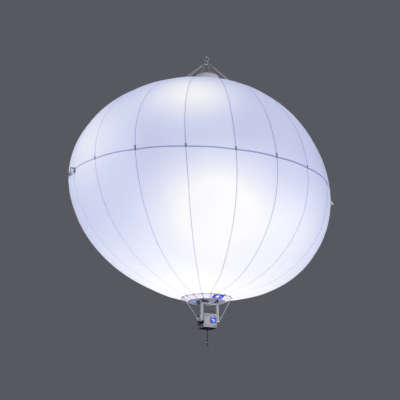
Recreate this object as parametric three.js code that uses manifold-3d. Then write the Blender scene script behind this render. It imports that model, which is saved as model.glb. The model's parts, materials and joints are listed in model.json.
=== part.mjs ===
// Balloon light: an inflated white envelope hung by a bridle, with a collar, a blower and a
// control box in a tilting yoke under it. Millimetres, +Z up, the front looks along -Y.
// The origin is the point inside the hang ring where a hook bears.
import * as THREE from 'three';
import * as BufferGeometryUtils from 'three/addons/utils/BufferGeometryUtils.js';
import Module from 'manifold-3d';

const wasm = await Module();
wasm.setup();

// Driving dimensions
const seat = 0.3;                    // gap where two pieces rest on each other
const envelopeRadius = 2990;         // to the seams at the equator
const envelopeHalfHeight = 2562;
const shellThickness = 10;
const goreCount = 18;
const stepsPerGore = 3;
const ringSteps = 9;
const goreBulge = 22;                // how far the middle of a gore stands proud at the equator
const crownOpeningRadius = 262;
const collarOpeningRadius = 548;
const leanAzimuth = 70;              // degrees from the front towards +X
const leanRise = -0.035;             // height gained per metre towards that side
const leanShear = -93;               // moves the upper half away from that side and the lower half to it
const bellyShift = -178;             // moves the belly away from that side, most at the equator
const levelWithin = 0.2;             // no lean inside this part of the radius
const footRise = 20;                 // the cloth is this much flatter at the collar
const beltWidth = 30;
const beltThickness = 5;
const patchLift = 0.8;               // a flat patch clears the curve of the cloth by this much
const hangRingRadius = 53;
const hangRingWire = 8;
const centreDepth = 3420;            // from the origin down to the centre of the envelope
const bridleAzimuths = [-170, -110, -50, 10, 70, 130];
const bridleRadius = 1000;           // from the axis to the eyes on the envelope
const bridleRod = 6;
const thimbleRadius = 12;
const thimbleLength = 70;
const lineFootStand = 24;            // the foot of a line stands this far off the cloth
const bridlePatchHalf = 90;
const sideAnchorAzimuths = [-90, 70, 170];
const shoulderAzimuths = [-90, 30, 150];
const shoulderRadius = 1330;
const shoulderPatchHalf = 110;
const collarRingRadius = 560;
const collarRingTube = 11;
const lowerRingRadius = 415;
const lowerRingTube = 12;
const skirtThickness = 8;
const skirtDrop = 55;
const plateThickness = 12;
const plateRecess = 52;              // the plate is a pan, this deep from below
const lipInner = 372;
const collarSides = 48;
const lugHeight = 34;                // the stays hang from two lugs on the upper ring
const panelAzimuth = 6;
const mastRadius = 24;
const lampRadius = 170;
const lampHeight = 420;
const lampZ = 120;
const fanCentreY = 215;
const ductRadius = 128;
const ductWall = 7;
const ductDepth = 62;
const rotorRadius = 113;
const rotorHub = 34;
const bladeCount = 7;
const bladePitch = 26;
const shaftRadius = 7;
const motorRadius = 38;
const legWidth = 40;                 // slotted aluminium profile, 40 by 80
const legDepth = 80;
const yokeHalfWidth = 209;
const yokeY = -130;                  // the legs stand in front of the pivot
const legFootZ = -3045;
const pivotZ = -2963;
const pivotRadius = 9;
const stayRadius = 6;
const yokeBarDrop = 45;              // from the pan's lip down to the bar
const boxHalfWidth = 163;
const boxHalfDepth = 172;
const boxY = -33;                    // the box hangs forward of its pivot
const boxTopZ = -2895;
const boxBottomZ = -3200;
const boxChamfer = 22;
const displayZ = -3037;
const displayWidth = 140;
const displayHeight = 118;
const tailX = -10;
const tailY = -60;
const tailRadius = 9;
const tailEndZ = -3450;
const plugLength = 130;
const anchorRing = 30;
const anchorWire = 5;
const ringY = 110;                   // the strap holds the ring this far out
const blockRadius = 45;
const sheaveRadius = 33;
const sheavePin = 6;
const ropeRoom = 14;                 // between the sheave and the block's head
const degree = Math.PI / 180;

// Colours and finishes
const finishes = {
  fabric: [0xf2f3fb, 0.75, 0],
  tape: [0x9d96b4, 0.8, 0],
  crownFabric: [0xa6a3b0, 0.8, 0],
  webbing: [0x77738c, 0.85, 0],
  alloy: [0xb9bcc2, 0.38, 0.9],
  steel: [0xc6c8cc, 0.3, 0.95],
  darkSteel: [0x2b2b31, 0.45, 0.8],
  blackPlastic: [0x151518, 0.55, 0],
  greyPaint: [0xb4b6bd, 0.5, 0.2],
  blueLight: [0x1f4bff, 0.3, 0],
  rubber: [0x101013, 0.8, 0],
  rope: [0x8f8c9c, 0.8, 0],
};

const model = new THREE.Group();
const air = new THREE.Group();       // everything placed from the centre of the envelope
air.position.z = -centreDepth;
model.add(air);

function finish(name) {
  const [color, roughness, metalness] = finishes[name];
  return new THREE.MeshStandardMaterial({ color, roughness, metalness });
}

function place(name, geometry, finishName, parent = air) {
  const mesh = new THREE.Mesh(geometry, finish(finishName));
  mesh.name = name;
  parent.add(mesh);
  return mesh;
}

// Solids are joined and cut as manifolds
function asSolid(geometry) {
  let bare = geometry.clone();
  for (const name of Object.keys(bare.attributes)) {
    if (name !== 'position') {
      bare.deleteAttribute(name);
    }
  }
  bare = BufferGeometryUtils.mergeVertices(bare, 1e-4);
  return new wasm.Manifold(new wasm.Mesh({
    numProp: 3,
    vertProperties: new Float32Array(bare.attributes.position.array),
    triVerts: new Uint32Array(bare.index.array),
  }));
}

function asGeometry(solid) {
  const mesh = solid.getMesh();
  const geometry = new THREE.BufferGeometry();
  geometry.setAttribute('position', new THREE.BufferAttribute(mesh.vertProperties, 3));
  geometry.setIndex(new THREE.BufferAttribute(mesh.triVerts, 1));
  return geometry;
}

function join(...geometries) {
  const solids = geometries.map(asSolid);
  return asGeometry(solids.reduce((whole, next) => whole.add(next)));
}

function cut(geometry, ...tools) {
  return asGeometry(tools.map(asSolid).reduce((whole, next) => whole.subtract(next), asSolid(geometry)));
}

// A closed grid of points, wrapped both ways, as one body with its faces outwards
function wrappedBody(rows) {
  const count = rows.length;
  const width = rows[0].length;
  const positions = rows.flat().flatMap((p) => [p.x, p.y, p.z]);
  const index = [];
  for (let i = 0; i < count; i += 1) {
    for (let j = 0; j < width; j += 1) {
      const a = i * width + j;
      const b = i * width + (j + 1) % width;
      const c = ((i + 1) % count) * width + j;
      const d = ((i + 1) % count) * width + (j + 1) % width;
      index.push(a, c, b, b, c, d);
    }
  }
  return facingOut(positions, index);
}

function facingOut(positions, index) {
  let volume = 0;
  const corner = (k) => new THREE.Vector3().fromArray(positions, 3 * k);
  for (let k = 0; k < index.length; k += 3) {
    volume += corner(index[k]).dot(corner(index[k + 1]).cross(corner(index[k + 2])));
  }
  const outward = [];
  for (let k = 0; k < index.length; k += 3) {
    outward.push(index[k], index[k + (volume > 0 ? 1 : 2)], index[k + (volume > 0 ? 2 : 1)]);
  }
  const geometry = new THREE.BufferGeometry();
  geometry.setAttribute('position', new THREE.Float32BufferAttribute(positions, 3));
  geometry.setIndex(outward);
  return geometry;
}

// Plain shapes
function block(width, depth, height, x = 0, y = 0, z = 0) {
  return new THREE.BoxGeometry(width, depth, height).translate(x, y, z);
}

function drum(radius, height, sides, x = 0, y = 0, z = 0, topRadius = radius) {
  return new THREE.CylinderGeometry(topRadius, radius, height, sides).rotateX(Math.PI / 2).translate(x, y, z);
}

function rod(from, to, radius, sides, endRadius = radius) {
  const way = new THREE.Vector3().subVectors(to, from);
  const turn = new THREE.Quaternion().setFromUnitVectors(new THREE.Vector3(0, 1, 0), way.clone().normalize());
  const middle = new THREE.Vector3().addVectors(from, to).multiplyScalar(0.5);
  return new THREE.CylinderGeometry(endRadius, radius, way.length(), sides)
    .applyQuaternion(turn).translate(middle.x, middle.y, middle.z);
}

// A turned body from a closed profile of [radius, height] points
function turned(profile, sides) {
  const rows = [];
  for (let i = 0; i < sides; i += 1) {
    const angle = 2 * Math.PI * i / sides;
    rows.push(profile.map(([r, z]) => new THREE.Vector3(r * Math.cos(angle), r * Math.sin(angle), z)));
  }
  return wrappedBody(rows);
}

function roundProfile(radius, z, tube, sides) {
  return Array.from({ length: sides }, (_, k) => {
    const angle = 2 * Math.PI * k / sides;
    return [radius + tube * Math.cos(angle), z + tube * Math.sin(angle)];
  });
}

function ringOfWire(radius, tube, sides, tubeSides) {
  return turned(roundProfile(radius, 0, tube, tubeSides), sides);
}

// The envelope's surface
const aroundCount = goreCount * stepsPerGore;
const seamAzimuth = 180 / goreCount;

function towards(azimuth) {
  return new THREE.Vector3(Math.sin(azimuth * degree), -Math.cos(azimuth * degree), 0);
}

function leaned(point, latitude) {
  const side = towards(leanAzimuth);
  const part = Math.min(1, Math.max(0, (Math.cos(latitude) - levelWithin) / 0.3));
  const fade = part * part * (3 - 2 * part);
  const along = point.x * side.x + point.y * side.y;
  const shift = leanShear * Math.sin(2 * latitude) + bellyShift * Math.cos(latitude) ** 2;
  const low = Math.max(0, -Math.sin(latitude)) / Math.sqrt(1 - (collarOpeningRadius / envelopeRadius) ** 2);
  return new THREE.Vector3(
    point.x + side.x * shift * fade,
    point.y + side.y * shift * fade,
    point.z + leanRise * along * fade + footRise * low ** 6,
  );
}

// station counts the steps round from the seam beside the front
function stationPoint(latitude, station, offset) {
  const azimuth = seamAzimuth + station * 360 / aroundCount;
  const inGore = ((station % stepsPerGore) + stepsPerGore) % stepsPerGore / stepsPerGore;
  const bulge = goreBulge * (1 - (2 * inGore - 1) ** 2) * Math.cos(latitude) ** 2;
  const radial = (envelopeRadius + bulge) * Math.cos(latitude);
  const height = (envelopeHalfHeight + bulge) * Math.sin(latitude);
  const normal = new THREE.Vector2(
    Math.cos(latitude) / envelopeRadius,
    Math.sin(latitude) / envelopeHalfHeight,
  ).normalize().multiplyScalar(offset);
  const point = towards(azimuth).multiplyScalar(radial + normal.x);
  point.z = height + normal.y;
  return leaned(point, latitude);
}

function stationAt(azimuth) {
  return (azimuth - seamAzimuth) * aroundCount / 360;
}

function latitudeAtRadius(radius, sign) {
  return sign * Math.acos(radius / envelopeRadius);
}

// The latitudes of a half's rings, from the equator to its opening
function ringLatitudes(sign) {
  const first = sign * 0.5 * seat / envelopeHalfHeight;
  const last = latitudeAtRadius(sign > 0 ? crownOpeningRadius : collarOpeningRadius, sign);
  return Array.from({ length: ringSteps + 1 }, (_, k) => first + (last - first) * k / ringSteps);
}

// A point on the flat facets between the rings and the stations
function onEnvelope(latitude, azimuth, offset) {
  const rings = ringLatitudes(latitude < 0 ? -1 : 1);
  const ringPlace = Math.max(0, ringSteps * (latitude - rings[0]) / (rings[ringSteps] - rings[0]));
  const ring = Math.min(ringSteps - 1, Math.floor(ringPlace));
  const station = stationAt(azimuth);
  const first = Math.floor(station + 1e-9);
  const along = (row) => stationPoint(rings[row], first, offset)
    .lerp(stationPoint(rings[row], first + 1, offset), station - first);
  return along(ring).lerp(along(ring + 1), ringPlace - ring);
}

// One half of the envelope: a thin shell from the equator to its opening
function envelopeHalf(sign) {
  const latitudes = ringLatitudes(sign);
  const rows = Array.from({ length: aroundCount }, (_, station) => [
    ...latitudes.map((latitude) => stationPoint(latitude, station, 0)),
    ...latitudes.toReversed().map((latitude) => stationPoint(latitude, station, -shellThickness)),
  ]);
  return wrappedBody(rows);
}

function makeEnvelope() {
  place('envelope_upper', envelopeHalf(1), 'fabric');
  place('envelope_lower', envelopeHalf(-1), 'fabric');
  // The belt sewn round the equator
  const beltHalf = beltWidth / 2 / envelopeHalfHeight;
  const rows = Array.from({ length: aroundCount }, (_, station) => [
    stationPoint(-beltHalf, station, seat),
    stationPoint(beltHalf, station, seat),
    stationPoint(beltHalf, station, seat + beltThickness),
    stationPoint(-beltHalf, station, seat + beltThickness),
  ]);
  place('equator_band', wrappedBody(rows), 'tape');
}

// Crown: a clamped ring in the top opening, with a cloth cap over it
function makeCrown() {
  const rimZ = stationPoint(latitudeAtRadius(crownOpeningRadius, 1), 0, 0).z;
  const flange = [
    [crownOpeningRadius - 30, rimZ - 22],
    [crownOpeningRadius - 4, rimZ - 22],
    [crownOpeningRadius - 4, rimZ + 4],
    [crownOpeningRadius + 22, rimZ + 4],
    [crownOpeningRadius + 22, rimZ + 16],
    [crownOpeningRadius - 30, rimZ + 16],
  ];
  place('crown_ring', turned(flange, 36), 'alloy');
  const capBaseZ = rimZ + 16 + seat;
  const cap = new THREE.LatheGeometry([
    new THREE.Vector2(0, capBaseZ),
    new THREE.Vector2(crownOpeningRadius + 14, capBaseZ),
    new THREE.Vector2(crownOpeningRadius + 30, capBaseZ + 60),
    new THREE.Vector2(crownOpeningRadius + 38, capBaseZ + 350),
    new THREE.Vector2(crownOpeningRadius, capBaseZ + 395),
    new THREE.Vector2(crownOpeningRadius - 102, capBaseZ + 425),
    new THREE.Vector2(0, capBaseZ + 437),
  ], 36).rotateX(Math.PI / 2);
  place('crown_cap', cap, 'crownFabric');
}

// Suspension: the ring, the hub under it and the bridle lines to the envelope
function makeSuspension() {
  const ring = ringOfWire(hangRingRadius, hangRingWire, 28, 8).rotateX(Math.PI / 2);
  place('hang_ring', ring.translate(0, 0, -hangRingRadius + hangRingWire), 'steel', model);
  const eyeRadius = 24;
  const eyeWire = 7;
  const ringFootZ = -2 * hangRingRadius + hangRingWire;
  const eyeZ = ringFootZ + hangRingWire + seat + eyeWire - eyeRadius;
  const eye = ringOfWire(eyeRadius, eyeWire, 20, 8).rotateX(Math.PI / 2).rotateZ(Math.PI / 2);
  const hubTopZ = eyeZ - eyeRadius + 3;
  const hubRadius = 30;
  const hub = drum(hubRadius, 60, 24, 0, 0, hubTopZ - 30);
  place('bridle_hub', join(eye.translate(0, 0, eyeZ), hub), 'steel', model);
  const hubMiddleZ = hubTopZ - 34;
  bridleAzimuths.forEach((azimuth, k) => {
    const latitude = latitudeAtRadius(bridleRadius, 1);
    const foot = onEnvelope(latitude, azimuth, lineFootStand);
    foot.z -= centreDepth;
    const centre = new THREE.Vector3(0, 0, hubMiddleZ);
    const steep = new THREE.Vector3().subVectors(centre, foot).normalize().z;
    const start = towards(azimuth).multiplyScalar(hubRadius + seat + thimbleRadius * steep).add(centre);
    const along = new THREE.Vector3().subVectors(foot, start).normalize();
    const line = rod(start, foot, bridleRod, 8);
    const thimble = rod(start, start.clone().addScaledVector(along, thimbleLength), thimbleRadius, 10);
    const eyeEnd = rod(foot.clone().addScaledVector(along, 10 - thimbleLength), foot, thimbleRadius - 1, 10);
    place(`bridle_line_${k + 1}`, join(line, thimble, eyeEnd), 'rope', model);
    const patch = anchorPatch(latitude, azimuth, bridlePatchHalf, lineFootStand - 10.4);
    place(`bridle_patch_${k + 1}`, patch, 'webbing');
  });
}

// A sewn patch, flat on the envelope's seam
function anchorPatch(latitude, azimuth, halfSize, height) {
  const across = halfSize / (envelopeRadius * Math.cos(latitude)) / degree;
  const up = halfSize / envelopeHalfHeight;
  const lower = seat + patchLift;
  const corner = (i, j, offset) => onEnvelope(latitude + i * up, azimuth + j * across, offset);
  const outline = [[-1, -1], [-1, 0], [-1, 1], [0, 1], [1, 1], [1, 0], [1, -1], [0, -1]];
  const bottom = outline.map(([i, j]) => corner(i, j, lower));
  const top = outline.map(([i, j]) => corner(0.55 * i, 0.55 * j, height));
  const points = [...bottom, ...top, corner(0, 0, lower), corner(0, 0, height)];
  const index = [];
  const n = outline.length;
  for (let k = 0; k < n; k += 1) {
    const next = (k + 1) % n;
    index.push(k, next, n + next, k, n + next, n + k);
    index.push(next, k, 2 * n, n + k, n + next, 2 * n + 1);
  }
  return facingOut(points.flatMap((p) => [p.x, p.y, p.z]), index);
}

// Collar: two tube rings with a cloth cone between them, and a plate in the lower one
const collarRingZ = stationPoint(latitudeAtRadius(collarOpeningRadius, -1), 0, 0).z - collarRingTube - 4;
const skirtTopZ = collarRingZ - collarRingTube - seat;
const lowerRingZ = skirtTopZ - skirtDrop - seat - lowerRingTube;
const rimFootZ = lowerRingZ - plateThickness / 2;
const plateFootZ = rimFootZ + plateRecess;
const plateTopZ = plateFootZ + plateThickness;

const lugX = collarRingRadius + 12;
const lugMiddleZ = collarRingZ - lugHeight / 2 + 5;

function skirtRadiusAt(z) {
  return lowerRingRadius + (collarRingRadius - lowerRingRadius) * (z - (skirtTopZ - skirtDrop)) / skirtDrop;
}

function makeCollar() {
  // The upper ring has a flat strip under the envelope's hem
  const upper = turned(roundProfile(collarRingRadius, collarRingZ, collarRingTube, 8), collarSides);
  const hem = turned([
    [collarOpeningRadius - 14, collarRingZ - 3],
    [collarRingRadius, collarRingZ - 3],
    [collarRingRadius, collarRingZ + collarRingTube + 3],
    [collarOpeningRadius - 14, collarRingZ + collarRingTube + 3],
  ], collarSides);
  const lugs = [-1, 1].map((side) => block(12, 26, lugHeight, side * lugX, 0, lugMiddleZ));
  place('collar_ring', join(upper, hem, ...lugs), 'alloy');
  const half = skirtThickness / 2;
  const skirt = turned([
    [collarRingRadius + half, skirtTopZ],
    [collarRingRadius - half, skirtTopZ],
    [lowerRingRadius - half, skirtTopZ - skirtDrop],
    [lowerRingRadius + half, skirtTopZ - skirtDrop],
  ], collarSides);
  place('collar_skirt', skirt, 'fabric');
  const lower = turned(roundProfile(lowerRingRadius, lowerRingZ, lowerRingTube, 8), collarSides);
  place('lower_ring', lower, 'alloy');
  // The plate is a round pan, open downwards, with a lip round its foot
  const panRadius = lowerRingRadius - lowerRingTube - seat;
  const lipTopZ = rimFootZ + 8;
  const pan = drum(panRadius, plateTopZ - rimFootZ, collarSides, 0, 0, (plateTopZ + rimFootZ) / 2);
  const recess = drum(panRadius - 6, plateFootZ - lipTopZ, collarSides, 0, 0, (plateFootZ + lipTopZ) / 2);
  const mouth = drum(lipInner, lipTopZ - rimFootZ + 11, collarSides, 0, 0, (lipTopZ + rimFootZ - 9) / 2);
  const fanHole = drum(ductRadius, 4 * plateThickness, 36, 0, fanCentreY, plateTopZ);
  const mastHole = drum(mastRadius + seat, 4 * plateThickness, 24, 0, 0, plateTopZ);
  place('base_plate', cut(pan, recess, mouth, fanHole, mastHole), 'alloy');
  // A lit panel lies on the front of the cone
  const panelZ = skirtTopZ - skirtDrop / 2;
  const panelSlope = Math.atan2(skirtDrop, collarRingRadius - lowerRingRadius);
  const panel = block(260, 144, 10, 0, -4, 0).rotateX(-panelSlope);
  const outward = new THREE.Vector3(0, -Math.sin(panelSlope), -Math.cos(panelSlope));
  const panelStand = half + seat + 2.5;
  panel.translate(0, -skirtRadiusAt(panelZ) + outward.y * panelStand, panelZ + outward.z * panelStand);
  place('collar_panel', panel.rotateZ(panelAzimuth * degree), 'blueLight');
  place('light_strip', block(140, 30, 24, -332, 0, rimFootZ - seat - 12), 'blueLight');
}

// The mast stands in the envelope from the base plate to the crown and carries the lamp unit
function makeMast() {
  const topZ = stationPoint(latitudeAtRadius(crownOpeningRadius, 1), 0, 0).z - 22 - seat;
  const footZ = plateFootZ;
  const mast = rod(new THREE.Vector3(0, 0, footZ), new THREE.Vector3(0, 0, topZ - 12), mastRadius, 16);
  const spider = drum(crownOpeningRadius - 20, 12, 36, 0, 0, topZ - 6);
  place('centre_mast', join(mast, spider), 'alloy');
  const lamp = drum(lampRadius, lampHeight, 24, 0, 0, lampZ);
  place('lamp_block', cut(lamp, drum(mastRadius + seat, lampHeight + 80, 16, 0, 0, lampZ)), 'greyPaint');
}

// Blower: a duct under the plate with a motor on three arms, a rotor and a guard
const ductTopZ = plateFootZ - seat;
const ductFootZ = ductTopZ - ductDepth;

function makeBlower() {
  const duct = turned([
    [ductRadius, ductTopZ],
    [ductRadius + ductWall + 16, ductTopZ],
    [ductRadius + ductWall + 16, ductTopZ - 5],
    [ductRadius + ductWall, ductTopZ - 5],
    [ductRadius + ductWall, ductFootZ],
    [ductRadius, ductFootZ],
  ], 36);
  const motorTopZ = ductTopZ + 30;
  const motor = drum(motorRadius, 40, 24, 0, 0, motorTopZ - 20);
  const shaft = drum(shaftRadius, 40, 16, 0, 0, motorTopZ - 56);
  const arms = [0, 120, 240].map((angle) => (
    block(ductRadius - 30, 12, 8, (ductRadius + 34) / 2, 0, ductTopZ - 5).rotateZ(angle * degree)));
  place('blower_duct', join(duct, motor, shaft, ...arms).translate(0, fanCentreY, 0), 'blackPlastic');
  const rotorZ = ductTopZ - 34;
  const hub = drum(rotorHub, 24, 24, 0, 0, rotorZ);
  const bladeRoot = rotorHub - 6;
  const blade = block(rotorRadius - bladeRoot, 46, 3, (rotorRadius + bladeRoot) / 2, 0, 0)
    .rotateX(bladePitch * degree);
  const blades = Array.from({ length: bladeCount }, (_, k) => blade.clone()
    .translate(0, 0, rotorZ).rotateZ(k * 360 / bladeCount * degree));
  const rotor = cut(join(hub, ...blades), drum(shaftRadius + seat, 60, 16, 0, 0, rotorZ));
  place('blower_rotor', rotor.translate(0, fanCentreY, 0), 'greyPaint');
  const guardZ = ductFootZ - seat - 3;
  const rings = [motorRadius, 84].map((radius) => turned(roundProfile(radius, guardZ, 3, 4), 24));
  const rim = turned([
    [ductRadius - 4, guardZ - 3],
    [ductRadius + ductWall, guardZ - 3],
    [ductRadius + ductWall, guardZ + 3],
    [ductRadius - 4, guardZ + 3],
  ], 36);
  const bars = [30, 90, 150].map((angle) => (
    block(2 * ductRadius, 5, 4, 0, 0, guardZ).rotateZ(angle * degree)));
  place('blower_guard', join(rim, ...rings, ...bars).translate(0, fanCentreY, 0), 'darkSteel');
}

// Yoke: two slotted legs bolted up into the pan, with a slotted bar between them
const yokeTopZ = plateFootZ - seat;
const yokeBarTopZ = rimFootZ - seat - yokeBarDrop;

function slottedLeg(side) {
  const length = yokeTopZ - legFootZ;
  const middleZ = (yokeTopZ + legFootZ) / 2;
  const x = side * (yokeHalfWidth - legWidth / 2);
  const bar = block(legWidth, legDepth, length, x, yokeY, middleZ);
  const slots = [];
  for (const face of [-1, 1]) {
    for (const y of [-legDepth / 4, legDepth / 4]) {
      slots.push(block(10, 8.2, length + 2, x + face * legWidth / 2, yokeY + y, middleZ));
    }
    slots.push(block(8.2, 10, length + 2, x, yokeY + face * legDepth / 2, middleZ));
  }
  return cut(bar, ...slots);
}

function makeYoke() {
  const barLength = 2 * (yokeHalfWidth - legWidth) - 2 * seat;
  const barHeight = 40;
  const barZ = yokeBarTopZ - barHeight / 2;
  const bar = block(barLength, legDepth, barHeight, 0, yokeY, barZ);
  const slots = [-1, 1].flatMap((face) => [
    block(barLength + 2, 10, 8.2, 0, yokeY + face * legDepth / 2, barZ),
    block(barLength + 2, 8.2, 10, 0, yokeY + face * legDepth / 4, barZ - barHeight / 2),
  ]);
  place('yoke_bar', cut(bar, ...slots), 'alloy');
  const frontY = yokeY - legDepth / 2;
  for (const [name, side] of [['left', -1], ['right', 1]]) {
    place(`yoke_leg_${name}`, slottedLeg(side), 'alloy');
    // Corner bracket on the bar
    const gusset = new THREE.Shape([
      new THREE.Vector2(0, 0), new THREE.Vector2(50, 0), new THREE.Vector2(50, 6), new THREE.Vector2(6, 50),
      new THREE.Vector2(0, 50),
    ]);
    const corner = new THREE.ExtrudeGeometry(gusset, { depth: 60, bevelEnabled: false }).translate(0, 0, -30);
    corner.rotateX(Math.PI / 2).rotateZ(side > 0 ? Math.PI : 0);
    corner.translate(side * (yokeHalfWidth - legWidth - seat), yokeY, yokeBarTopZ + seat);
    place(`yoke_corner_${name}`, corner, 'darkSteel');
    // Clamp block with a lever on the front of each leg
    const clampX = side * (yokeHalfWidth - legWidth / 2);
    const plate = block(36, 12, 54, clampX, frontY - seat - 6, yokeTopZ - 34);
    const lever = block(14, 14, 62, clampX, frontY - seat - 18, yokeTopZ - 50);
    place(`yoke_clamp_${name}`, join(plate, lever), 'blackPlastic');
    // Pivot plate from the leg's foot back to the pivot, with the tightening knob
    const outside = yokeHalfWidth + seat;
    const arm = block(14, 220, 96, side * (outside + 7), frontY + 110, pivotZ - 8);
    const knob = drum(27, 34, 12).rotateY(Math.PI / 2).translate(side * (outside + 14 + 17), -72, pivotZ + 14);
    const bore = drum(pivotRadius + seat, 60, 16).rotateY(Math.PI / 2)
      .translate(side * (outside + 7), 0, pivotZ);
    place(`pivot_plate_${name}`, cut(join(arm, knob), bore), 'greyPaint');
    // Stay from the collar's ring down to the foot of the leg
    const top = new THREE.Vector3(side * lugX, 0, lugMiddleZ - lugHeight / 2 - seat - 4);
    const foot = new THREE.Vector3(side * (yokeHalfWidth + 28), yokeY, legFootZ - 14);
    const stay = rod(top, foot, stayRadius, 10);
    const shoe = block(legWidth + 8, 46, 12, side * (yokeHalfWidth - 12), yokeY, legFootZ - seat - 6);
    const toe = block(26, 20, 12, side * (yokeHalfWidth + 20), yokeY, legFootZ - seat - 6);
    place(`stay_${name}`, join(stay, shoe, toe), 'steel');
  }
}

// Control box, which tilts behind the legs on two pins
function makeBox() {
  const w = boxHalfWidth;
  const d = boxHalfDepth;
  const c = boxChamfer;
  const outline = new THREE.Shape([
    [-w + c, -d], [w - c, -d], [w, -d + c], [w, d - c], [w - c, d], [-w + c, d], [-w, d - c], [-w, -d + c],
  ].map(([x, y]) => new THREE.Vector2(x, y)));
  const body = new THREE.ExtrudeGeometry(outline, { depth: boxTopZ - boxBottomZ, bevelEnabled: false });
  body.translate(0, boxY, boxBottomZ);
  const pin = drum(pivotRadius, 2 * (yokeHalfWidth + 12), 16).rotateY(Math.PI / 2).translate(0, 0, pivotZ);
  const boss = drum(22, 2 * (yokeHalfWidth - 5), 20).rotateY(Math.PI / 2).translate(0, 0, pivotZ);
  const gland = drum(15, 30, 12, tailX, tailY, boxBottomZ - 14);
  place('control_box', join(body, pin, boss, gland), 'greyPaint');
  const display = block(displayWidth, 9, displayHeight, 66, boxY - d - seat - 4.5, displayZ);
  place('control_display', display, 'blueLight');
  const handle = new THREE.Shape();
  handle.absarc(0, 0, 150, 0, Math.PI, false);
  handle.absarc(0, 0, 130, Math.PI, 0, true);
  const bail = new THREE.ExtrudeGeometry(handle, { depth: 22, bevelEnabled: false, curveSegments: 10 });
  bail.rotateX(Math.PI / 2).scale(1, 1, 0.45).translate(0, boxY - 139, boxTopZ + seat);
  place('box_handle', bail, 'blackPlastic');
  // Thin enough to pass behind the leg when the box tilts
  const connectorZ = pivotZ - 114;
  const connectors = [-16, 34, 84].map((y) => drum(21, 26, 12).rotateY(Math.PI / 2)
    .translate(-w - seat - 15, y, connectorZ));
  const panel = block(2.6, 150, 80, -w - seat - 1.3, 35, connectorZ);
  place('connector_panel', join(panel, ...connectors), 'blackPlastic');
}

// Supply tail: a short cable out of the box's gland, with an inline connector
function makeTail() {
  const glandFootZ = boxBottomZ - 29;
  const points = [0, 1, 2, 3, 4].map((k) => new THREE.Vector3(
    tailX + [0, 0, 1, 3, 4][k],
    tailY + [0, 0, 2, 3, 3][k],
    glandFootZ - seat + (tailEndZ - glandFootZ + seat) * k / 4,
  ));
  const section = new THREE.Shape();
  section.absarc(0, 0, tailRadius, 0, 2 * Math.PI, false);
  const tube = new THREE.ExtrudeGeometry(section, {
    steps: 10, curveSegments: 5, bevelEnabled: false, extrudePath: new THREE.CatmullRomCurve3(points),
  });
  place('supply_tail', tube, 'rubber');
  const plugZ = tailEndZ - seat - plugLength / 2;
  place('supply_plug', drum(24, plugLength, 16, points[4].x, points[4].y, plugZ, 20), 'blackPlastic');
}

// Side anchors on the belt: patch and ring, a block that swings on the ring, a sheave in it
function sideFrame(azimuth) {
  const at = onEnvelope(0, azimuth, 0);
  return new THREE.Matrix4().makeRotationZ((azimuth + 180) * degree).setPosition(at);
}

function makeSideAnchors() {
  sideAnchorAzimuths.forEach((azimuth, k) => {
    // In this frame +Y points away from the envelope and the belt lies along X
    const frame = sideFrame(azimuth);
    const patch = block(100, 6, 120, 0, 9.4, -14);
    const strap = block(38, ringY, 6, 0, 8 + ringY / 2, anchorRing);
    const ring = ringOfWire(anchorRing, anchorWire, 20, 6).rotateX(Math.PI / 2).translate(0, ringY, 0);
    place(`side_anchor_${k + 1}`, join(patch, strap, ring).applyMatrix4(frame), 'webbing');
    const eyeRadius = 14;
    const eyeWire = 4;
    const eyeZ = -anchorRing + anchorWire + seat + eyeWire - eyeRadius;
    const eye = ringOfWire(eyeRadius, eyeWire, 16, 6).rotateX(Math.PI / 2).rotateZ(Math.PI / 2);
    eye.translate(0, ringY, eyeZ);
    const neckTopZ = eyeZ - eyeRadius + 2;
    const headZ = neckTopZ - 16;
    const pinZ = headZ - 6 - ropeRoom - sheaveRadius;
    const neck = block(20, 24, 16, 0, ringY, neckTopZ - 8);
    const cheeks = [-1, 1].map((side) => drum(blockRadius, 5, 18).rotateY(Math.PI / 2)
      .translate(side * 15.5, ringY, pinZ));
    const head = block(36, 34, 12, 0, ringY, headZ);
    const straps = [-1, 1].map((side) => block(5, 34, headZ - pinZ, side * 15.5, ringY, (headZ + pinZ) / 2));
    const pin = drum(sheavePin, 36, 14).rotateY(Math.PI / 2).translate(0, ringY, pinZ);
    const shell = join(eye, neck, head, pin, ...straps, ...cheeks);
    place(`pulley_block_${k + 1}`, shell.applyMatrix4(frame), 'alloy');
    const sheave = turned([
      [sheavePin + seat, -8], [sheaveRadius, -8], [sheaveRadius - 7, 0],
      [sheaveRadius, 8], [sheavePin + seat, 8],
    ], 20).rotateY(Math.PI / 2).translate(0, ringY, pinZ);
    place(`pulley_sheave_${k + 1}`, sheave.applyMatrix4(frame), 'blackPlastic');
  });
  shoulderAzimuths.forEach((azimuth, k) => {
    const latitude = latitudeAtRadius(shoulderRadius, 1);
    place(`shoulder_patch_${k + 1}`, anchorPatch(latitude, azimuth, shoulderPatchHalf, 16), 'webbing');
  });
}

makeEnvelope();
makeCrown();
makeSuspension();
makeCollar();
makeMast();
makeBlower();
makeYoke();
makeBox();
makeTail();
makeSideAnchors();

export default model;
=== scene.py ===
# Balloon light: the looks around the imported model. Metres, +Z up, the front looks along -Y.
# The origin is the point inside the hang ring where a hook bears.
import json
import math
from contextlib import contextmanager

import bmesh
import bpy
from mathutils import Matrix, Vector


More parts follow.
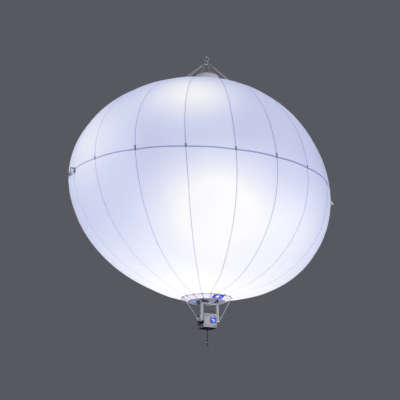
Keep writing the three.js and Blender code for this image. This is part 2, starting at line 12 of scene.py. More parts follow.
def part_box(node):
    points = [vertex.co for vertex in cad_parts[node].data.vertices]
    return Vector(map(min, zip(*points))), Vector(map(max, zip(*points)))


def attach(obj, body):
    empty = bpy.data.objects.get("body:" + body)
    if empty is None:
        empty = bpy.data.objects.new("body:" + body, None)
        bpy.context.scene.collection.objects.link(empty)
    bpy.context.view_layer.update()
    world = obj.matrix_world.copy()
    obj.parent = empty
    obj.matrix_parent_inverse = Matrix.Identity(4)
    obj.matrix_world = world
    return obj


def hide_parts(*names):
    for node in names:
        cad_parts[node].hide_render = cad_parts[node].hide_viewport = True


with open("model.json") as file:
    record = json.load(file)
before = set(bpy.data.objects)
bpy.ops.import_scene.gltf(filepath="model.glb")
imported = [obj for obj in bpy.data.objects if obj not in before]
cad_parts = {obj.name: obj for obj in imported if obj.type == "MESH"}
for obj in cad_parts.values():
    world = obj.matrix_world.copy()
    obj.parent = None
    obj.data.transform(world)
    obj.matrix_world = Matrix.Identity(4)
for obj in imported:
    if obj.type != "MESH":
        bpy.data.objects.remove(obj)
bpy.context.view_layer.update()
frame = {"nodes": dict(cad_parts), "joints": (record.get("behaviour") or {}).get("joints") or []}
joints = {joint["name"]: joint for joint in frame["joints"]}
scene = bpy.context.scene
finishes = {}
xWay, yWay, zWay = Vector((1, 0, 0)), Vector((0, 1, 0)), Vector((0, 0, 1))
full = math.tau


# Places and moves. Azimuths are degrees from the front towards +X
def towards(azimuth, out=1.0, height=0.0):
    angle = math.radians(azimuth)
    return Vector((out * math.sin(angle), -out * math.cos(angle), height))


def shift(x, y, z):
    return Matrix.Translation((x, y, z))


def spin(degrees, axis="Z"):
    return Matrix.Rotation(math.radians(degrees), 4, axis)


# Lays a piece's own axes along three ways, from a place
def axesAlong(first, second, third, place=(0, 0, 0)):
    return Matrix([[*first, 0], [*second, 0], [*third, 0], [*place, 1]]).transposed()


def eased(share):
    return share * share * (3 - 2 * share)


# Tools for modelling
def deselectAll():
    if bpy.context.object and bpy.context.object.mode != "OBJECT":
        bpy.ops.object.mode_set(mode="OBJECT")
    bpy.ops.object.select_all(action="DESELECT")


def workOn(piece):
    deselectAll()
    piece.select_set(True)
    bpy.context.view_layer.objects.active = piece


@contextmanager
def editing(piece, action="SELECT"):
    workOn(piece)
    bpy.ops.object.mode_set(mode="EDIT")
    bpy.ops.mesh.select_all(action=action)
    yield
    bpy.ops.object.mode_set(mode="OBJECT")


def named(piece, name):
    piece.name = piece.data.name = name
    return piece


def lastMade(name, finish):
    piece = named(bpy.context.object, name)
    piece.data.materials.append(finishes[finish])
    bpy.ops.object.transform_apply(location=True, rotation=True, scale=True)
    return piece


def applied(piece, kind, **settings):
    workOn(piece)
    modifier = piece.modifiers.new(kind.title(), kind)
    for key, value in settings.items():
        setattr(modifier, key, value)
    bpy.ops.object.modifier_apply(modifier=modifier.name)
    return piece


def thickened(piece, thickness, offset=1):
    return applied(piece, "SOLIDIFY", thickness=thickness, offset=offset)


def bevelled(piece, width, segments=2, angle=32):
    if not width:
        return piece
    return applied(piece, "BEVEL", width=width, segments=segments, limit_method="ANGLE",
                   angle_limit=math.radians(angle))


def addBlock(name, middle, size, finish, bevel=0.0, segments=2):
    deselectAll()
    bpy.ops.mesh.primitive_cube_add(size=1, location=middle, scale=size)
    return bevelled(lastMade(name, finish), bevel, segments)


def addDrum(name, start, end, radius, finish, sides=32, endRadius=None, bevel=0.0, segments=2):
    start, end = Vector(start), Vector(end)
    way = end - start
    deselectAll()
    bpy.ops.mesh.primitive_cone_add(
        vertices=sides, radius1=radius, radius2=radius if endRadius is None else endRadius,
        depth=way.length, location=(start + end) / 2, rotation=way.to_track_quat("Z", "Y").to_euler())
    return bevelled(lastMade(name, finish), bevel, segments)


# A drum along Z over a spot in x and y, and one along X
def addPost(name, spot, top, foot, *settings):
    return addDrum(name, (*spot, top), (*spot, foot), *settings)


def addPin(name, start, end, spot, *settings):
    return addDrum(name, (start, *spot), (end, *spot), *settings)


def addRing(name, middle, axis, radius, tube, finish, around=48, across=12):
    deselectAll()
    bpy.ops.mesh.primitive_torus_add(
        major_radius=radius, minor_radius=tube, major_segments=around, minor_segments=across,
        location=middle, rotation=Vector(axis).to_track_quat("Z", "Y").to_euler())
    return lastMade(name, finish)


def addGrid(name, columns, rows, finish):
    deselectAll()
    bpy.ops.mesh.primitive_grid_add(x_subdivisions=columns, y_subdivisions=rows, size=1)
    return lastMade(name, finish)


def addSphere(name, segments, rings, finish):
    deselectAll()
    bpy.ops.mesh.primitive_uv_sphere_add(segments=segments, ring_count=rings, radius=1)
    return lastMade(name, finish)


# A prism from an outline drawn counterclockwise in x and y
def addPrism(name, outline, depth, finish, bevel=0.0, segments=2):
    deselectAll()
    bpy.ops.mesh.primitive_circle_add(vertices=len(outline), radius=1, fill_type="NGON")
    piece = lastMade(name, finish)
    for vertex, (x, y) in zip(piece.data.vertices, outline):
        vertex.co = (x, y, -depth / 2)
    with editing(piece):
        bpy.ops.mesh.extrude_region_move(TRANSFORM_OT_translate={"value": (0, 0, depth)})
        bpy.ops.mesh.select_all(action="SELECT")
        bpy.ops.mesh.normals_make_consistent(inside=False)
    return bevelled(piece, bevel, segments)


def roundedOutline(wide, high, corner, steps=4):
    outline = []
    for k, (sx, sy) in enumerate(((1, 1), (-1, 1), (-1, -1), (1, -1))):
        for step in range(steps + 1):
            angle = full / 4 * (k + step / steps)
            outline.append((sx * (wide / 2 - corner) + corner * math.cos(angle),
                            sy * (high / 2 - corner) + corner * math.sin(angle)))
    return outline


def insetFaces(piece, wanted, thickness, depth):
    with editing(piece, "DESELECT"):
        bpy.ops.mesh.select_mode(type="FACE")
        cage = bmesh.from_edit_mesh(piece.data)
        for face in cage.faces:
            face.select_set(bool(wanted(face.calc_center_median(), face.normal)))
        bmesh.update_edit_mesh(piece.data)
        bpy.ops.mesh.inset(thickness=thickness, depth=depth)
    return piece


def facing(way):
    return lambda middle, normal: normal.dot(way) > 0.9


def cutAt(piece, height, keepBelow, fill=False):
    with editing(piece):
        bpy.ops.mesh.bisect(plane_co=(0, 0, height), plane_no=(0, 0, 1), clear_outer=keepBelow,
                            clear_inner=not keepBelow, use_fill=fill)
    return piece


def cutWith(piece, *cutters):
    for cutter in cutters:
        applied(piece, "BOOLEAN", operation="DIFFERENCE", solver="EXACT", object=cutter)
        bpy.data.objects.remove(cutter)
    return piece


def joined(name, pieces):
    workOn(pieces[0])
    for piece in pieces[1:]:
        piece.select_set(True)
    bpy.ops.object.join()
    return named(pieces[0], name)


def copied(piece, name, matrix):
    made = piece.copy()
    made.data = piece.data.copy()
    scene.collection.objects.link(made)
    made.data.transform(matrix)
    return named(made, name)


# Copies of a pattern piece, which is then thrown away
def copiesOf(pattern, matrices):
    copies = [copied(pattern, pattern.name, matrix) for matrix in matrices]
    bpy.data.objects.remove(pattern)
    return copies


def moved(piece, matrix):
    piece.data.transform(matrix)
    return piece


def reshaped(piece, rule):
    for vertex in piece.data.vertices:
        vertex.co = rule(vertex.co)
    piece.data.update()
    return piece


def mergedDoubles(piece, distance=1e-5, outward=False):
    with editing(piece):
        bpy.ops.mesh.remove_doubles(threshold=distance)
        if outward:
            bpy.ops.mesh.normals_make_consistent(inside=False)
    return piece


def finished(piece, body, slot, *replaced, smooth=35):
    workOn(piece)
    if smooth:
        bpy.ops.object.shade_smooth_by_angle(angle=math.radians(smooth))
    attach(piece, body)
    if replaced:
        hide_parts(*replaced)
    deselectAll()
    return piece


def smoothed(piece):
    workOn(piece)
    bpy.ops.object.shade_smooth()
    return piece


# A washer and a bolt head that stand on a place, along a way
def hexBolt(place, way, size, finish="galvanised", thick=0.005):
    place, way, washer = Vector(place), Vector(way).normalized(), 0.0012
    seat = place + way * washer
    return joined("boltHead", [
        addDrum("washer", place, seat, size * 1.25, finish, 20),
        addDrum("boltHead", seat, seat + way * thick, size, finish, 6, None, 0.0006, 1)])


# The camera and the cord come first
view = {"aim": (0.0, 0.0, -3.42), "distance": 22.0, "azimuth": -25.0, "looksUp": 17.4, "lens": 85.14,
        "sensor": 36, "shiftX": -0.01685, "shiftY": -0.0215, "eyeHeight": 0.15, "seesTo": 200}


def makeCamera():
    rise = math.radians(view["looksUp"])
    back = towards(view["azimuth"], math.cos(rise), -math.sin(rise))
    data = bpy.data.cameras.new("photoCamera")
    data.sensor_width, data.lens, data.clip_end = view["sensor"], view["lens"], view["seesTo"]
    data.shift_x, data.shift_y = view["shiftX"], view["shiftY"]
    made = bpy.data.objects.new("photoCamera", data)
    scene.collection.objects.link(made)
    made.location = Vector(view["aim"]) + back * view["distance"]
    made.rotation_euler = (-back).to_track_quat("-Z", "Y").to_euler()
    scene.camera = made
    return made


camera = makeCamera()
floorHeight = camera.location.z - view["eyeHeight"]
print("stage 1: camera", [round(c, 3) for c in camera.location], "floor", round(floorHeight, 3))


# Materials: one under construction, with short ways to add its nodes
class Look:
    def __init__(self, name, colour, roughness, sockets=None):
        self.material = bpy.data.materials.new(name)
        self.material.use_nodes = True
        self.material.diffuse_color = (*colour, 1)
        self.tree = self.material.node_tree
        self.shader = self.tree.nodes["Principled BSDF"]
        self.set({"Base Color": (*colour, 1), "Roughness": roughness, **(sockets or {})})
        coordinates = self.node("ShaderNodeTexCoord")
        self.place, self.uv = coordinates.outputs["Object"], coordinates.outputs["UV"]

    def plug(self, node, sockets):
        for key, value in sockets.items():
            if isinstance(value, bpy.types.NodeSocket):
                self.tree.links.new(value, node.inputs[key])
            else:
                node.inputs[key].default_value = value
        return node

    def set(self, sockets):
        self.plug(self.shader, sockets)

    def node(self, kind, sockets=None, **settings):
        made = self.tree.nodes.new("ShaderNode" + kind.removeprefix("ShaderNode"))
        for key, value in settings.items():
            setattr(made, key, value)
        return self.plug(made, sockets or {})

    def maths(self, operation, *values):
        return self.node("Math", dict(enumerate(values)), operation=operation).outputs[0]

    def times(self, *values):
        return self.maths("MULTIPLY", *values)

    def vectors(self, operation, *values):
        made = self.node("VectorMath", dict(enumerate(values)), operation=operation)
        return made.outputs["Value" if operation in ("DOT_PRODUCT", "LENGTH") else "Vector"]

    def split(self, vector):
        return self.node("SeparateXYZ", {0: vector}).outputs

    def noise(self, scale, detail=3.0, roughness=0.55, at=None):
        return self.node("TexNoise", {"Vector": at or self.place, "Scale": scale, "Detail": detail,
                                      "Roughness": roughness}).outputs["Fac"]

    def threads(self, pitch, direction, uneven=0.0):
        return self.node("TexWave", {"Vector": self.place, "Scale": bandScale / pitch, "Distortion": uneven},
                         wave_type="BANDS", bands_direction=direction).outputs["Fac"]

    def ranged(self, value, low, high, toLow=0.0, toHigh=1.0):
        return self.node("MapRange", {0: value, 1: low, 2: high, 3: toLow, 4: toHigh}).outputs[0]

    def mixed(self, factor, first, second, blend="MIX", **settings):
        first, second = ((*c, 1) if isinstance(c, tuple) else c for c in (first, second))
        return self.node("Mix", {0: factor, 6: first, 7: second}, data_type="RGBA", blend_type=blend,
                         **settings).outputs[2]

    def bump(self, height, strength, distance):
        made = self.node("Bump", {"Height": height, "Strength": strength, "Distance": distance})
        self.set({"Normal": made.outputs[0]})

    def glow(self, colour, strength=1.0):
        self.set({"Emission Color": (*colour, 1) if isinstance(colour, tuple) else colour,
                  "Emission Strength": strength})


bandScale = 0.314   # the scale at which a wave texture has one band to the metre


def paintedMetal(name, colour, worn, roughness, grain=900.0, glow=None):
    look = Look(name, colour, roughness)
    # a glow on painted metal is painted light, since the part is no lamp
    if glow:
        look.glow(glow)
    look.set({"Base Color": look.mixed(look.ranged(look.noise(9.0, 5.0), 0.35, 0.7), colour, worn),
              "Roughness": look.ranged(look.noise(40.0), 0.2, 0.8, roughness - 0.08, roughness + 0.12)})
    look.bump(look.noise(grain, 2.0), 0.25, 0.0004)
    return look.material


def brushedMetal(name, colour, dull, roughness, stretch=(4.0, 4.0, 120.0), metallic=0.9):
    look = Look(name, colour, roughness, {"Metallic": metallic})
    lined = look.node("Mapping", {"Vector": look.place, "Scale": stretch}).outputs[0]
    lines = look.noise(6.0, 6.0, 0.7, lined)
    look.set({"Base Color": look.mixed(look.ranged(look.noise(5.0, 4.0), 0.3, 0.75), colour, dull),
              "Roughness": look.ranged(lines, 0.2, 0.8, roughness - 0.1, roughness + 0.14)})
    look.bump(lines, 0.2, 0.0003)
    return look.material


def mouldedPlastic(name, colour, dusty, roughness, shine=0.5):
    look = Look(name, colour, roughness, {"Specular IOR Level": shine})
    dust = look.noise(14.0, 4.0)
    look.set({"Base Color": look.mixed(look.ranged(dust, 0.4, 0.8), colour, dusty),
              "Roughness": look.ranged(dust, 0.2, 0.8, roughness - 0.06, roughness + 0.1)})
    pits = look.node("TexVoronoi", {"Vector": look.place, "Scale": 700.0}).outputs["Distance"]
    look.bump(pits, 0.3, 0.0003)
    return look.material


# A woven tape or cloth, with threads of a given pitch in metres, that lets some of the lamp's light through
def wovenCloth(name, colour, thread, pitch, through=None):
    look = Look(name, colour, 0.85, {"Sheen Weight": 0.25, "Sheen Roughness": 0.5})
    weave = look.times(look.threads(pitch, "DIAGONAL", 0.6), look.threads(pitch, "Z", 0.6))
    fade = look.times(look.noise(7.0, 4.0), 0.5)
    look.set({"Base Color": look.mixed(look.maths("MULTIPLY_ADD", weave, 0.5, fade), colour, thread)})
    look.bump(weave, 0.5, 0.0006)
    if through:
        look.glow(look.mixed(1.0, lampGlow(look), through, "MULTIPLY"))
    return look.material


def braidedRope(name, colour, dark, pitch=0.016):
    look = Look(name, colour, 0.8, {"Sheen Weight": 0.3})
    turn, along = look.split(look.uv)[:2]
    steps = look.maths("DIVIDE", along, pitch)
    strands = [look.maths("PINGPONG", look.maths("MULTIPLY_ADD", turn, way, steps), 0.5)
               for way in (4.0, -4.0)]
    braid = look.times(look.times(*strands), 4.0)
    look.set({"Base Color": look.mixed(braid, dark, colour)})
    look.bump(braid, 0.8, 0.002)
    return look.material


def cableJacket(name, colour, scuffed):
    look = Look(name, colour, 0.6)
    look.set({"Base Color": look.mixed(look.ranged(look.noise(60.0, 4.0), 0.5, 0.8), colour, scuffed)})
    look.bump(look.noise(900.0, 2.0), 0.2, 0.0003)
    return look.material


# A lit panel with soft spots on its own UV map: x, y, width, height and brightness of each
def litPanel(name, base, edge, middle, spots, strength):
    look = Look(name, base, 0.35, {"Specular IOR Level": 0.2})
    total = 0.0
    for x, y, wide, high, bright in spots:
        squashed = look.vectors("DIVIDE", look.vectors("SUBTRACT", look.uv, (x, y, 0)), (wide, high, 1))
        far = look.vectors("LENGTH", squashed)
        spot = look.maths("EXPONENT", look.times(look.times(far, far), -1.0))
        total = look.maths("MULTIPLY_ADD", spot, bright, total)
    look.glow(look.mixed(look.maths("MINIMUM", total, 1.0), edge, middle), strength)
    return look.material


# The studio floor
def plainFloor(name, colour, other):
    look = Look(name, colour, 0.7)
    look.set({"Base Color": look.mixed(look.noise(0.8, 4.0), colour, other)})
    return look.material


# The envelope's form, which its glow follows too
cloth = {"centre": -3.42, "radius": 2.99, "halfHeight": 2.562, "gores": 18, "goreWidth": 1.044,
         "bulge": 0.022, "crownOpening": 0.262, "collarOpening": 0.548, "leanAzimuth": 70.0,
         "leanRise": -0.035, "leanShear": -0.093, "bellyShift": -0.178, "levelWithin": 0.2,
         "levelReach": 0.3, "footRise": 0.020, "winding": -5.5, "stepsPerGore": 12, "rings": 168,
         "thickness": 0.0016}

# Light of the lamp unit through the cloth, as soft lobes on the envelope. Each lobe has its latitude,
# azimuth, spread in degrees and strength, and the lamp unit throws it front and back
lampLight = {
    "even": 0.494, "most": 0.960, "foot": (-90.0, 0.0, 31.9, 0.586),
    "lobes": [(-26.0, -21.0, 14.8, 0.556), (-31.0, 20.0, 12.5, 0.165), (32.0, -32.5, 12.2, 0.440),
              (11.9, -80.4, 15.5, 0.285), (38.0, 14.0, 15.0, 0.065)],
    "tones": [(0.40, (0.40, 0.43, 0.65)), (0.51, (0.509, 0.545, 0.765)), (0.64, (0.640, 0.676, 0.862)),
              (0.745, (0.745, 0.776, 0.905)), (0.92, (0.920, 0.922, 0.947)), (0.975, (0.975, 0.962, 0.975))],
}
# What the studio itself puts on the cloth, which the glow leaves out: even light, less from below,
# and each lamp by azimuth, height in degrees, strength and how narrow it is
studioShare = {"even": 0.105, "upward": -0.050, "tint": (0.98, 1.0, 1.09),
               "lamps": [(31.4, 7.0, 0.300, 1), (-54.0, 1.0, 0.165, 2), (164.0, 10.0, 0.170, 1)]}


# How near the way out from the envelope's middle is to a latitude and azimuth
def nearTo(look, way, latitude, azimuth):
    high = math.radians(latitude)
    return look.vectors("DOT_PRODUCT", way, towards(azimuth, math.cos(high), math.sin(high)))


def lampField(look, way):
    total = lampLight["even"]
    lobes = [lampLight["foot"]]
    for latitude, azimuth, *rest in lampLight["lobes"]:
        lobes += [(latitude, azimuth, *rest), (latitude, azimuth + 180.0, *rest)]
    for latitude, azimuth, wide, strength in lobes:
        sharp = 1 / math.radians(wide) ** 2
        near = nearTo(look, way, latitude, azimuth)
        lobe = look.maths("EXPONENT", look.maths("MULTIPLY_ADD", near, sharp, -sharp))
        total = look.maths("MULTIPLY_ADD", lobe, strength, total)
    return look.maths("MINIMUM", total, lampLight["most"])


def shareField(look, way):
    total = look.maths("MULTIPLY_ADD", look.split(way)[2], studioShare["upward"], studioShare["even"])
    for azimuth, latitude, strength, narrow in studioShare["lamps"]:
        near = look.maths("MAXIMUM", nearTo(look, way, latitude, azimuth), 0.0)
        total = look.maths("MULTIPLY_ADD", look.maths("POWER", near, narrow), strength, total)
    parts = [look.times(total, tint) for tint in studioShare["tint"]]
    return look.node("CombineColor", dict(enumerate(parts))).outputs[0]


def lampGlow(look):
    centred = look.vectors("SUBTRACT", look.place, (0, 0, cloth["centre"]))
    way = look.vectors("NORMALIZE", look.vectors(
        "DIVIDE", centred, (cloth["radius"], cloth["radius"], cloth["halfHeight"])))
    ramp = look.node("ValToRGB", {0: lampField(look, way)})
    stops = lampLight["tones"]
    while len(ramp.color_ramp.elements) < len(stops):
        ramp.color_ramp.elements.new(0.5)
    for element, (position, colour) in zip(ramp.color_ramp.elements, stops):
        element.position, element.color = position, (*colour, 1)
    return look.mixed(1.0, ramp.outputs["Color"], shareField(look, way), "SUBTRACT", clamp_result=True)


# The envelope's cloth: u counts gores from a seam, v is metres along the gore
clothLook = {"base": (0.80, 0.81, 0.86), "dirty": (0.72, 0.73, 0.78), "roughness": 0.65, "seamShade": 0.012,
             "seamWidth": 0.040, "tickShade": 0.13, "tickPitch": 0.075, "tickReach": 0.07,
             "weavePitch": 0.0022, "mottle": 0.018}


def envelopeCloth(name, base, dirty):
    look = Look(name, base, clothLook["roughness"],
                {"Sheen Weight": 0.15, "Sheen Roughness": 0.4, "Specular IOR Level": 0.3})
    acrossGore, alongGore = look.split(look.uv)[:2]
    # metres from the nearest seam
    level = look.maths("DIVIDE", look.maths("SUBTRACT", look.split(look.place)[2], cloth["centre"]),
                       cloth["halfHeight"])
    narrowing = look.maths("SQRT", look.maths("MAXIMUM", look.maths(
        "SUBTRACT", 1.0, look.times(level, level)), 0.0004))
    fromSeam = look.times(look.times(look.maths("PINGPONG", acrossGore, 0.5), cloth["goreWidth"]), narrowing)
    nearSeam, reach = (look.maths("EXPONENT", look.maths("DIVIDE", fromSeam, -clothLook[key]))
                       for key in ("seamWidth", "tickReach"))
    # puckers across the seam, uneven along it
    ticks = look.node("TexNoise", {"W": look.times(alongGore, 1 / clothLook["tickPitch"]), "Scale": 1.0,
                                   "Detail": 2.0}, noise_dimensions="1D").outputs["Fac"]
    uneven = look.ranged(look.noise(3.0, 2.0), 0.42, 0.62, 0.15)
    pucker = look.times(look.times(look.ranged(ticks, 0.56, 0.75), reach), uneven)
    shade = look.maths("MULTIPLY_ADD", nearSeam, -clothLook["seamShade"], 1.0)
    shade = look.maths("MULTIPLY_ADD", pucker, -clothLook["tickShade"], shade)
    mottle = look.ranged(look.noise(1.7, 4.0), 0.3, 0.7, -clothLook["mottle"], clothLook["mottle"])
    shade = look.maths("ADD", shade, mottle)
    blueShade = look.maths("MULTIPLY_ADD", shade, 0.6, 0.4)
    shadeColour = look.node("CombineColor", {0: shade, 1: shade, 2: blueShade}).outputs[0]
    look.glow(look.mixed(1.0, lampGlow(look), shadeColour, "MULTIPLY"))
    look.set({"Base Color": look.mixed(look.ranged(look.noise(0.9, 6.0), 0.45, 0.8), base, dirty)})
    # weave and puckers in the bump
    weave = look.times(look.threads(clothLook["weavePitch"], "X"), look.threads(clothLook["weavePitch"], "Z"))
    look.bump(look.maths("ADD", look.times(pucker, -1.0), look.times(weave, 0.02)), 0.6, 0.004)
    return look.material


panelBlue = (0.01, 0.02, 0.2)
finishRows = [
    (envelopeCloth, "envelopeCloth", clothLook["base"], clothLook["dirty"]),
    (wovenCloth, "seamTape", (0.26, 0.25, 0.29), (0.36, 0.35, 0.40), 0.004, (0.60, 0.58, 0.80)),
    (wovenCloth, "beltWebbing", (0.24, 0.23, 0.29), (0.32, 0.30, 0.37), 0.005, (0.62, 0.61, 0.78)),
    (wovenCloth, "tabWebbing", (0.24, 0.23, 0.29), (0.34, 0.33, 0.39), 0.005, (0.10, 0.09, 0.14)),
    (wovenCloth, "collarCloth", (0.80, 0.80, 0.85), (0.88, 0.88, 0.91), 0.004, (0.74, 0.72, 0.78)),
    (wovenCloth, "collarWebbing", (0.42, 0.40, 0.50), (0.52, 0.50, 0.60), 0.005, (0.22, 0.20, 0.30)),
    (wovenCloth, "crownCloth", (0.74, 0.71, 0.75), (0.82, 0.80, 0.84), 0.005),
    (wovenCloth, "greyWebbing", (0.30, 0.29, 0.34), (0.42, 0.41, 0.46), 0.005),
    (braidedRope, "bridleRope", (0.86, 0.85, 0.88), (0.60, 0.59, 0.64)),
    (brushedMetal, "galvanised", (0.62, 0.63, 0.66), (0.48, 0.49, 0.52), 0.38, (30, 30, 30)),
    (brushedMetal, "satinAlloy", (0.72, 0.73, 0.76), (0.58, 0.59, 0.63), 0.34),
    (brushedMetal, "slottedAlloy", (0.74, 0.74, 0.78), (0.66, 0.66, 0.70), 0.42, (30, 30, 4), 0.25),
    (brushedMetal, "turnedAlloy", (0.70, 0.71, 0.75), (0.56, 0.57, 0.61), 0.36, (6, 6, 90)),
    (paintedMetal, "blackSteel", (0.02, 0.02, 0.024), (0.06, 0.06, 0.065), 0.42),
    (paintedMetal, "greyPowder", (0.70, 0.69, 0.74), (0.62, 0.61, 0.66), 0.48, 700.0),
    (paintedMetal, "boxPaint", (0.51, 0.51, 0.56), (0.46, 0.46, 0.51), 0.45, 700.0),
    # the box's side panels: a darker copy of the box's paint, as painted shade
    (paintedMetal, "sidePaintedShade", (0.20, 0.20, 0.22), (0.16, 0.16, 0.18), 0.5, 700.0),
    # the pan's paint glows faintly: painted light that lifts the shade under the collar
    (paintedMetal, "panPaint", (0.84, 0.83, 0.90), (0.78, 0.77, 0.85), 0.5, 800.0, (0.06, 0.06, 0.10)),
    (paintedMetal, "palePowder", (0.82, 0.82, 0.86), (0.76, 0.76, 0.80), 0.45, 800.0),
    (paintedMetal, "darkPanel", (0.035, 0.035, 0.042), (0.07, 0.07, 0.08), 0.5),
    (mouldedPlastic, "paleButton", (0.80, 0.80, 0.82), (0.72, 0.72, 0.75), 0.4),
    (mouldedPlastic, "mouldedGrey", (0.24, 0.24, 0.27), (0.32, 0.32, 0.35), 0.5),
    (mouldedPlastic, "mouldedBlack", (0.018, 0.018, 0.02), (0.05, 0.05, 0.055), 0.45),
    (mouldedPlastic, "ductPlastic", (0.24, 0.24, 0.26), (0.34, 0.34, 0.37), 0.5),
    (mouldedPlastic, "mattBlack", (0.008, 0.008, 0.009), (0.016, 0.016, 0.018), 0.8, 0.03),
    (cableJacket, "rubberJacket", (0.018, 0.018, 0.02), (0.07, 0.07, 0.075)),
    (litPanel, "boxDisplay", panelBlue, (0.008, 0.02, 0.95), (0.45, 0.85, 1.0),
     [(0.58, 0.50, 0.17, 0.15, 1.1), (0.42, 0.62, 0.16, 0.09, 0.55), (0.72, 0.36, 0.14, 0.08, 0.5)], 1.15),
    (litPanel, "collarLamp", panelBlue, (0.012, 0.03, 0.85), (0.85, 0.93, 1.0),
     [(0.42, 0.50, 0.15, 0.30, 1.3), (0.80, 0.52, 0.05, 0.14, 0.8)], 1.1),
    (litPanel, "screenBar", (0.3, 0.5, 0.8), (0.35, 0.75, 1.0), (0.75, 0.95, 1.0),
     [(0.5, 0.5, 0.4, 0.6, 1.0)], 1.0),
    (litPanel, "stripDiffuser", (0.1, 0.2, 0.4), (0.16, 0.42, 0.85), (0.40, 0.66, 1.0),
     [(0.7, 0.5, 0.30, 0.6, 0.9)], 0.9),
    (plainFloor, "studioFloor", (0.78, 0.78, 0.80), (0.74, 0.74, 0.77)),
]
for maker, finish, *settings in finishRows:
    finishes[finish] = maker(finish, *settings)
print("stage 2: materials", len(finishes))


# Supply tail: the one free cord, cut short at its inline plug
tail = {"at": (-0.010, -0.060), "top": -6.6496, "end": -6.870, "radius": 0.009, "points": 17, "sides": 16,
        "driftX": [0, 0, 0.001, 0.003, 0.004], "driftY": [0, 0, 0.002, 0.003, 0.003],
        "reliefLength": 0.045, "reliefRings": 4, "plugLength": 0.130, "grips": 18}


# A value from a list that is spread evenly over a share from 0 to 1
def spread(values, share):
    place = share * (len(values) - 1)
    low = min(int(place), len(values) - 2)
    return values[low] + (values[low + 1] - values[low]) * eased(place - low)


def makeTail():
    (x, y), top, steps, black = tail["at"], tail["top"], tail["points"] - 1, "mouldedBlack"
    path = [Vector((x + spread(tail["driftX"], step / steps), y + spread(tail["driftY"], step / steps),
                    top + (tail["end"] - top) * step / steps)) for step in range(steps + 1)]
    deselectAll()
    bpy.ops.mesh.primitive_cylinder_add(vertices=tail["sides"], radius=tail["radius"], depth=1,
                                        end_fill_type="NGON")
    cord = lastMade("supply_cord", "rubberJacket")
    with editing(cord, "DESELECT"):
        bpy.ops.mesh.select_mode(type="EDGE")
        cage = bmesh.from_edit_mesh(cord.data)
        for edge in cage.edges:
            edge.select_set(abs(edge.verts[1].co.z - edge.verts[0].co.z) > 0.5)
        bmesh.update_edit_mesh(cord.data)
        bpy.ops.mesh.subdivide(number_cuts=steps - 1)

    def follow(point):
        centre = path[min(steps, max(0, round((0.5 - point.z) * steps)))]
        return Vector((centre.x + point.x, centre.y + point.y, centre.z))

    reshaped(cord, follow)
    finished(cord, "control_unit", "rubber", "supply_tail")
    # tapered relief under the gland, with rings
    relief = [addPost("cable_relief", (x, y), top, top - tail["reliefLength"], 0.0135, black, 24, 0.0103)]
    relief += [addRing("reliefRing", (x, y, top - 0.006 - 0.009 * k), zWay, 0.0118 - 0.0006 * k, 0.0019,
                       black, 24, 8) for k in range(tail["reliefRings"])]
    relief = finished(joined("cable_relief", relief), "control_unit", "black_plastic")
    # inline plug: neck, body, locking collar with grips, and the open end
    head = path[-1] - zWay * 0.0003
    rows = [("plugNeck", 0, 0.022, 0.0125, black, 28, 0.017, 0.001),
            ("plugBody", 0.022, 0.092, 0.0215, black, 36, 0.0200, 0.002),
            ("plugCollar", 0.048, 0.084, 0.0236, "mouldedGrey", 36, None, 0.0015),
            ("plugSocket", 0.092, tail["plugLength"], 0.0192, black, 32, 0.0186)]
    parts = [addPost(name, head.xy, head.z - start, head.z - end, *rest) for name, start, end, *rest in rows]
    socketFoot = head.z - 0.12
    insetFaces(parts[3], facing(-zWay), 0.0022, 0.0)
    insetFaces(parts[3], lambda middle, normal: normal.z < -0.9 and middle.z < socketFoot, 0.0002, -0.02)
    grip = addBlock("plugGrip", (0.0234, 0, 0), (0.0018, 0.0022, 0.030), "mouldedGrey", 0.0005, 1)
    parts += copiesOf(grip, [shift(*head.xy, head.z - 0.066) @ spin(360 / tail["grips"] * k)
                             for k in range(tail["grips"])])
    plug = finished(joined("supply_plug_body", parts), "control_unit", "black_plastic", "supply_plug")
    length = sum((b - a).length for a, b in zip(path, path[1:]))
    return length


print("stage 3: supply tail, metres long", round(makeTail(), 3))


# Envelope, with the sewn seams as the photo shows them: a little uneven, and evenly round the back
seamAzimuths = [-170, -151, -132, -113, -93, -72, -50.5, -29.7, -10, 8, 26, 47.5, 69, 90, 110, 130, 150, 170]
goreEnds = [*seamAzimuths[1:], seamAzimuths[0] + 360]
crownLatitude = math.acos(cloth["crownOpening"] / cloth["radius"])
collarLatitude = -math.acos(cloth["collarOpening"] / cloth["radius"])
# where the seams end at the collar
hemTurn = cloth["winding"] * math.sin(collarLatitude) ** 2
hemAzimuths = [azimuth + hemTurn for azimuth in seamAzimuths]


# How far across its gore an azimuth is
def goreShare(azimuth):
    turned = (azimuth - seamAzimuths[0]) % 360 + seamAzimuths[0]
    start, end = next(gore for gore in zip(seamAzimuths, goreEnds) if turned < gore[1])
    return (turned - start) / (end - start)


# 1 midway between two seams at the collar, and 0 on a seam
def betweenSeams(azimuth):
    return math.sin(math.pi * goreShare(azimuth - hemTurn))


# A point on the cloth: latitude in radians, azimuth in degrees
def clothPoint(latitude, azimuth, lift=0.0):
    level, high = math.cos(latitude), math.sin(latitude)
    bulge = cloth["bulge"] * (1 - (2 * goreShare(azimuth) - 1) ** 2) * level ** 2
    normal = Vector((level / cloth["radius"], high / cloth["halfHeight"])).normalized() * lift
    azimuth += cloth["winding"] * min(0.0, high) ** 2
    point = towards(azimuth, (cloth["radius"] + bulge) * level + normal.x,
                    (cloth["halfHeight"] + bulge) * high + normal.y)
    # the lean that the guy ropes give it, away from the level crown and collar
    side = towards(cloth["leanAzimuth"])
    fade = eased(min(1.0, max(0.0, (level - cloth["levelWithin"]) / cloth["levelReach"])))
    rise = cloth["leanRise"] * point.dot(side) * fade
    point += side * ((cloth["leanShear"] * math.sin(2 * latitude) + cloth["bellyShift"] * level ** 2) * fade)
    low = min(0.0, high) / math.sin(collarLatitude)
    point.z += rise + cloth["footRise"] * low ** 6 + cloth["centre"]
    return point


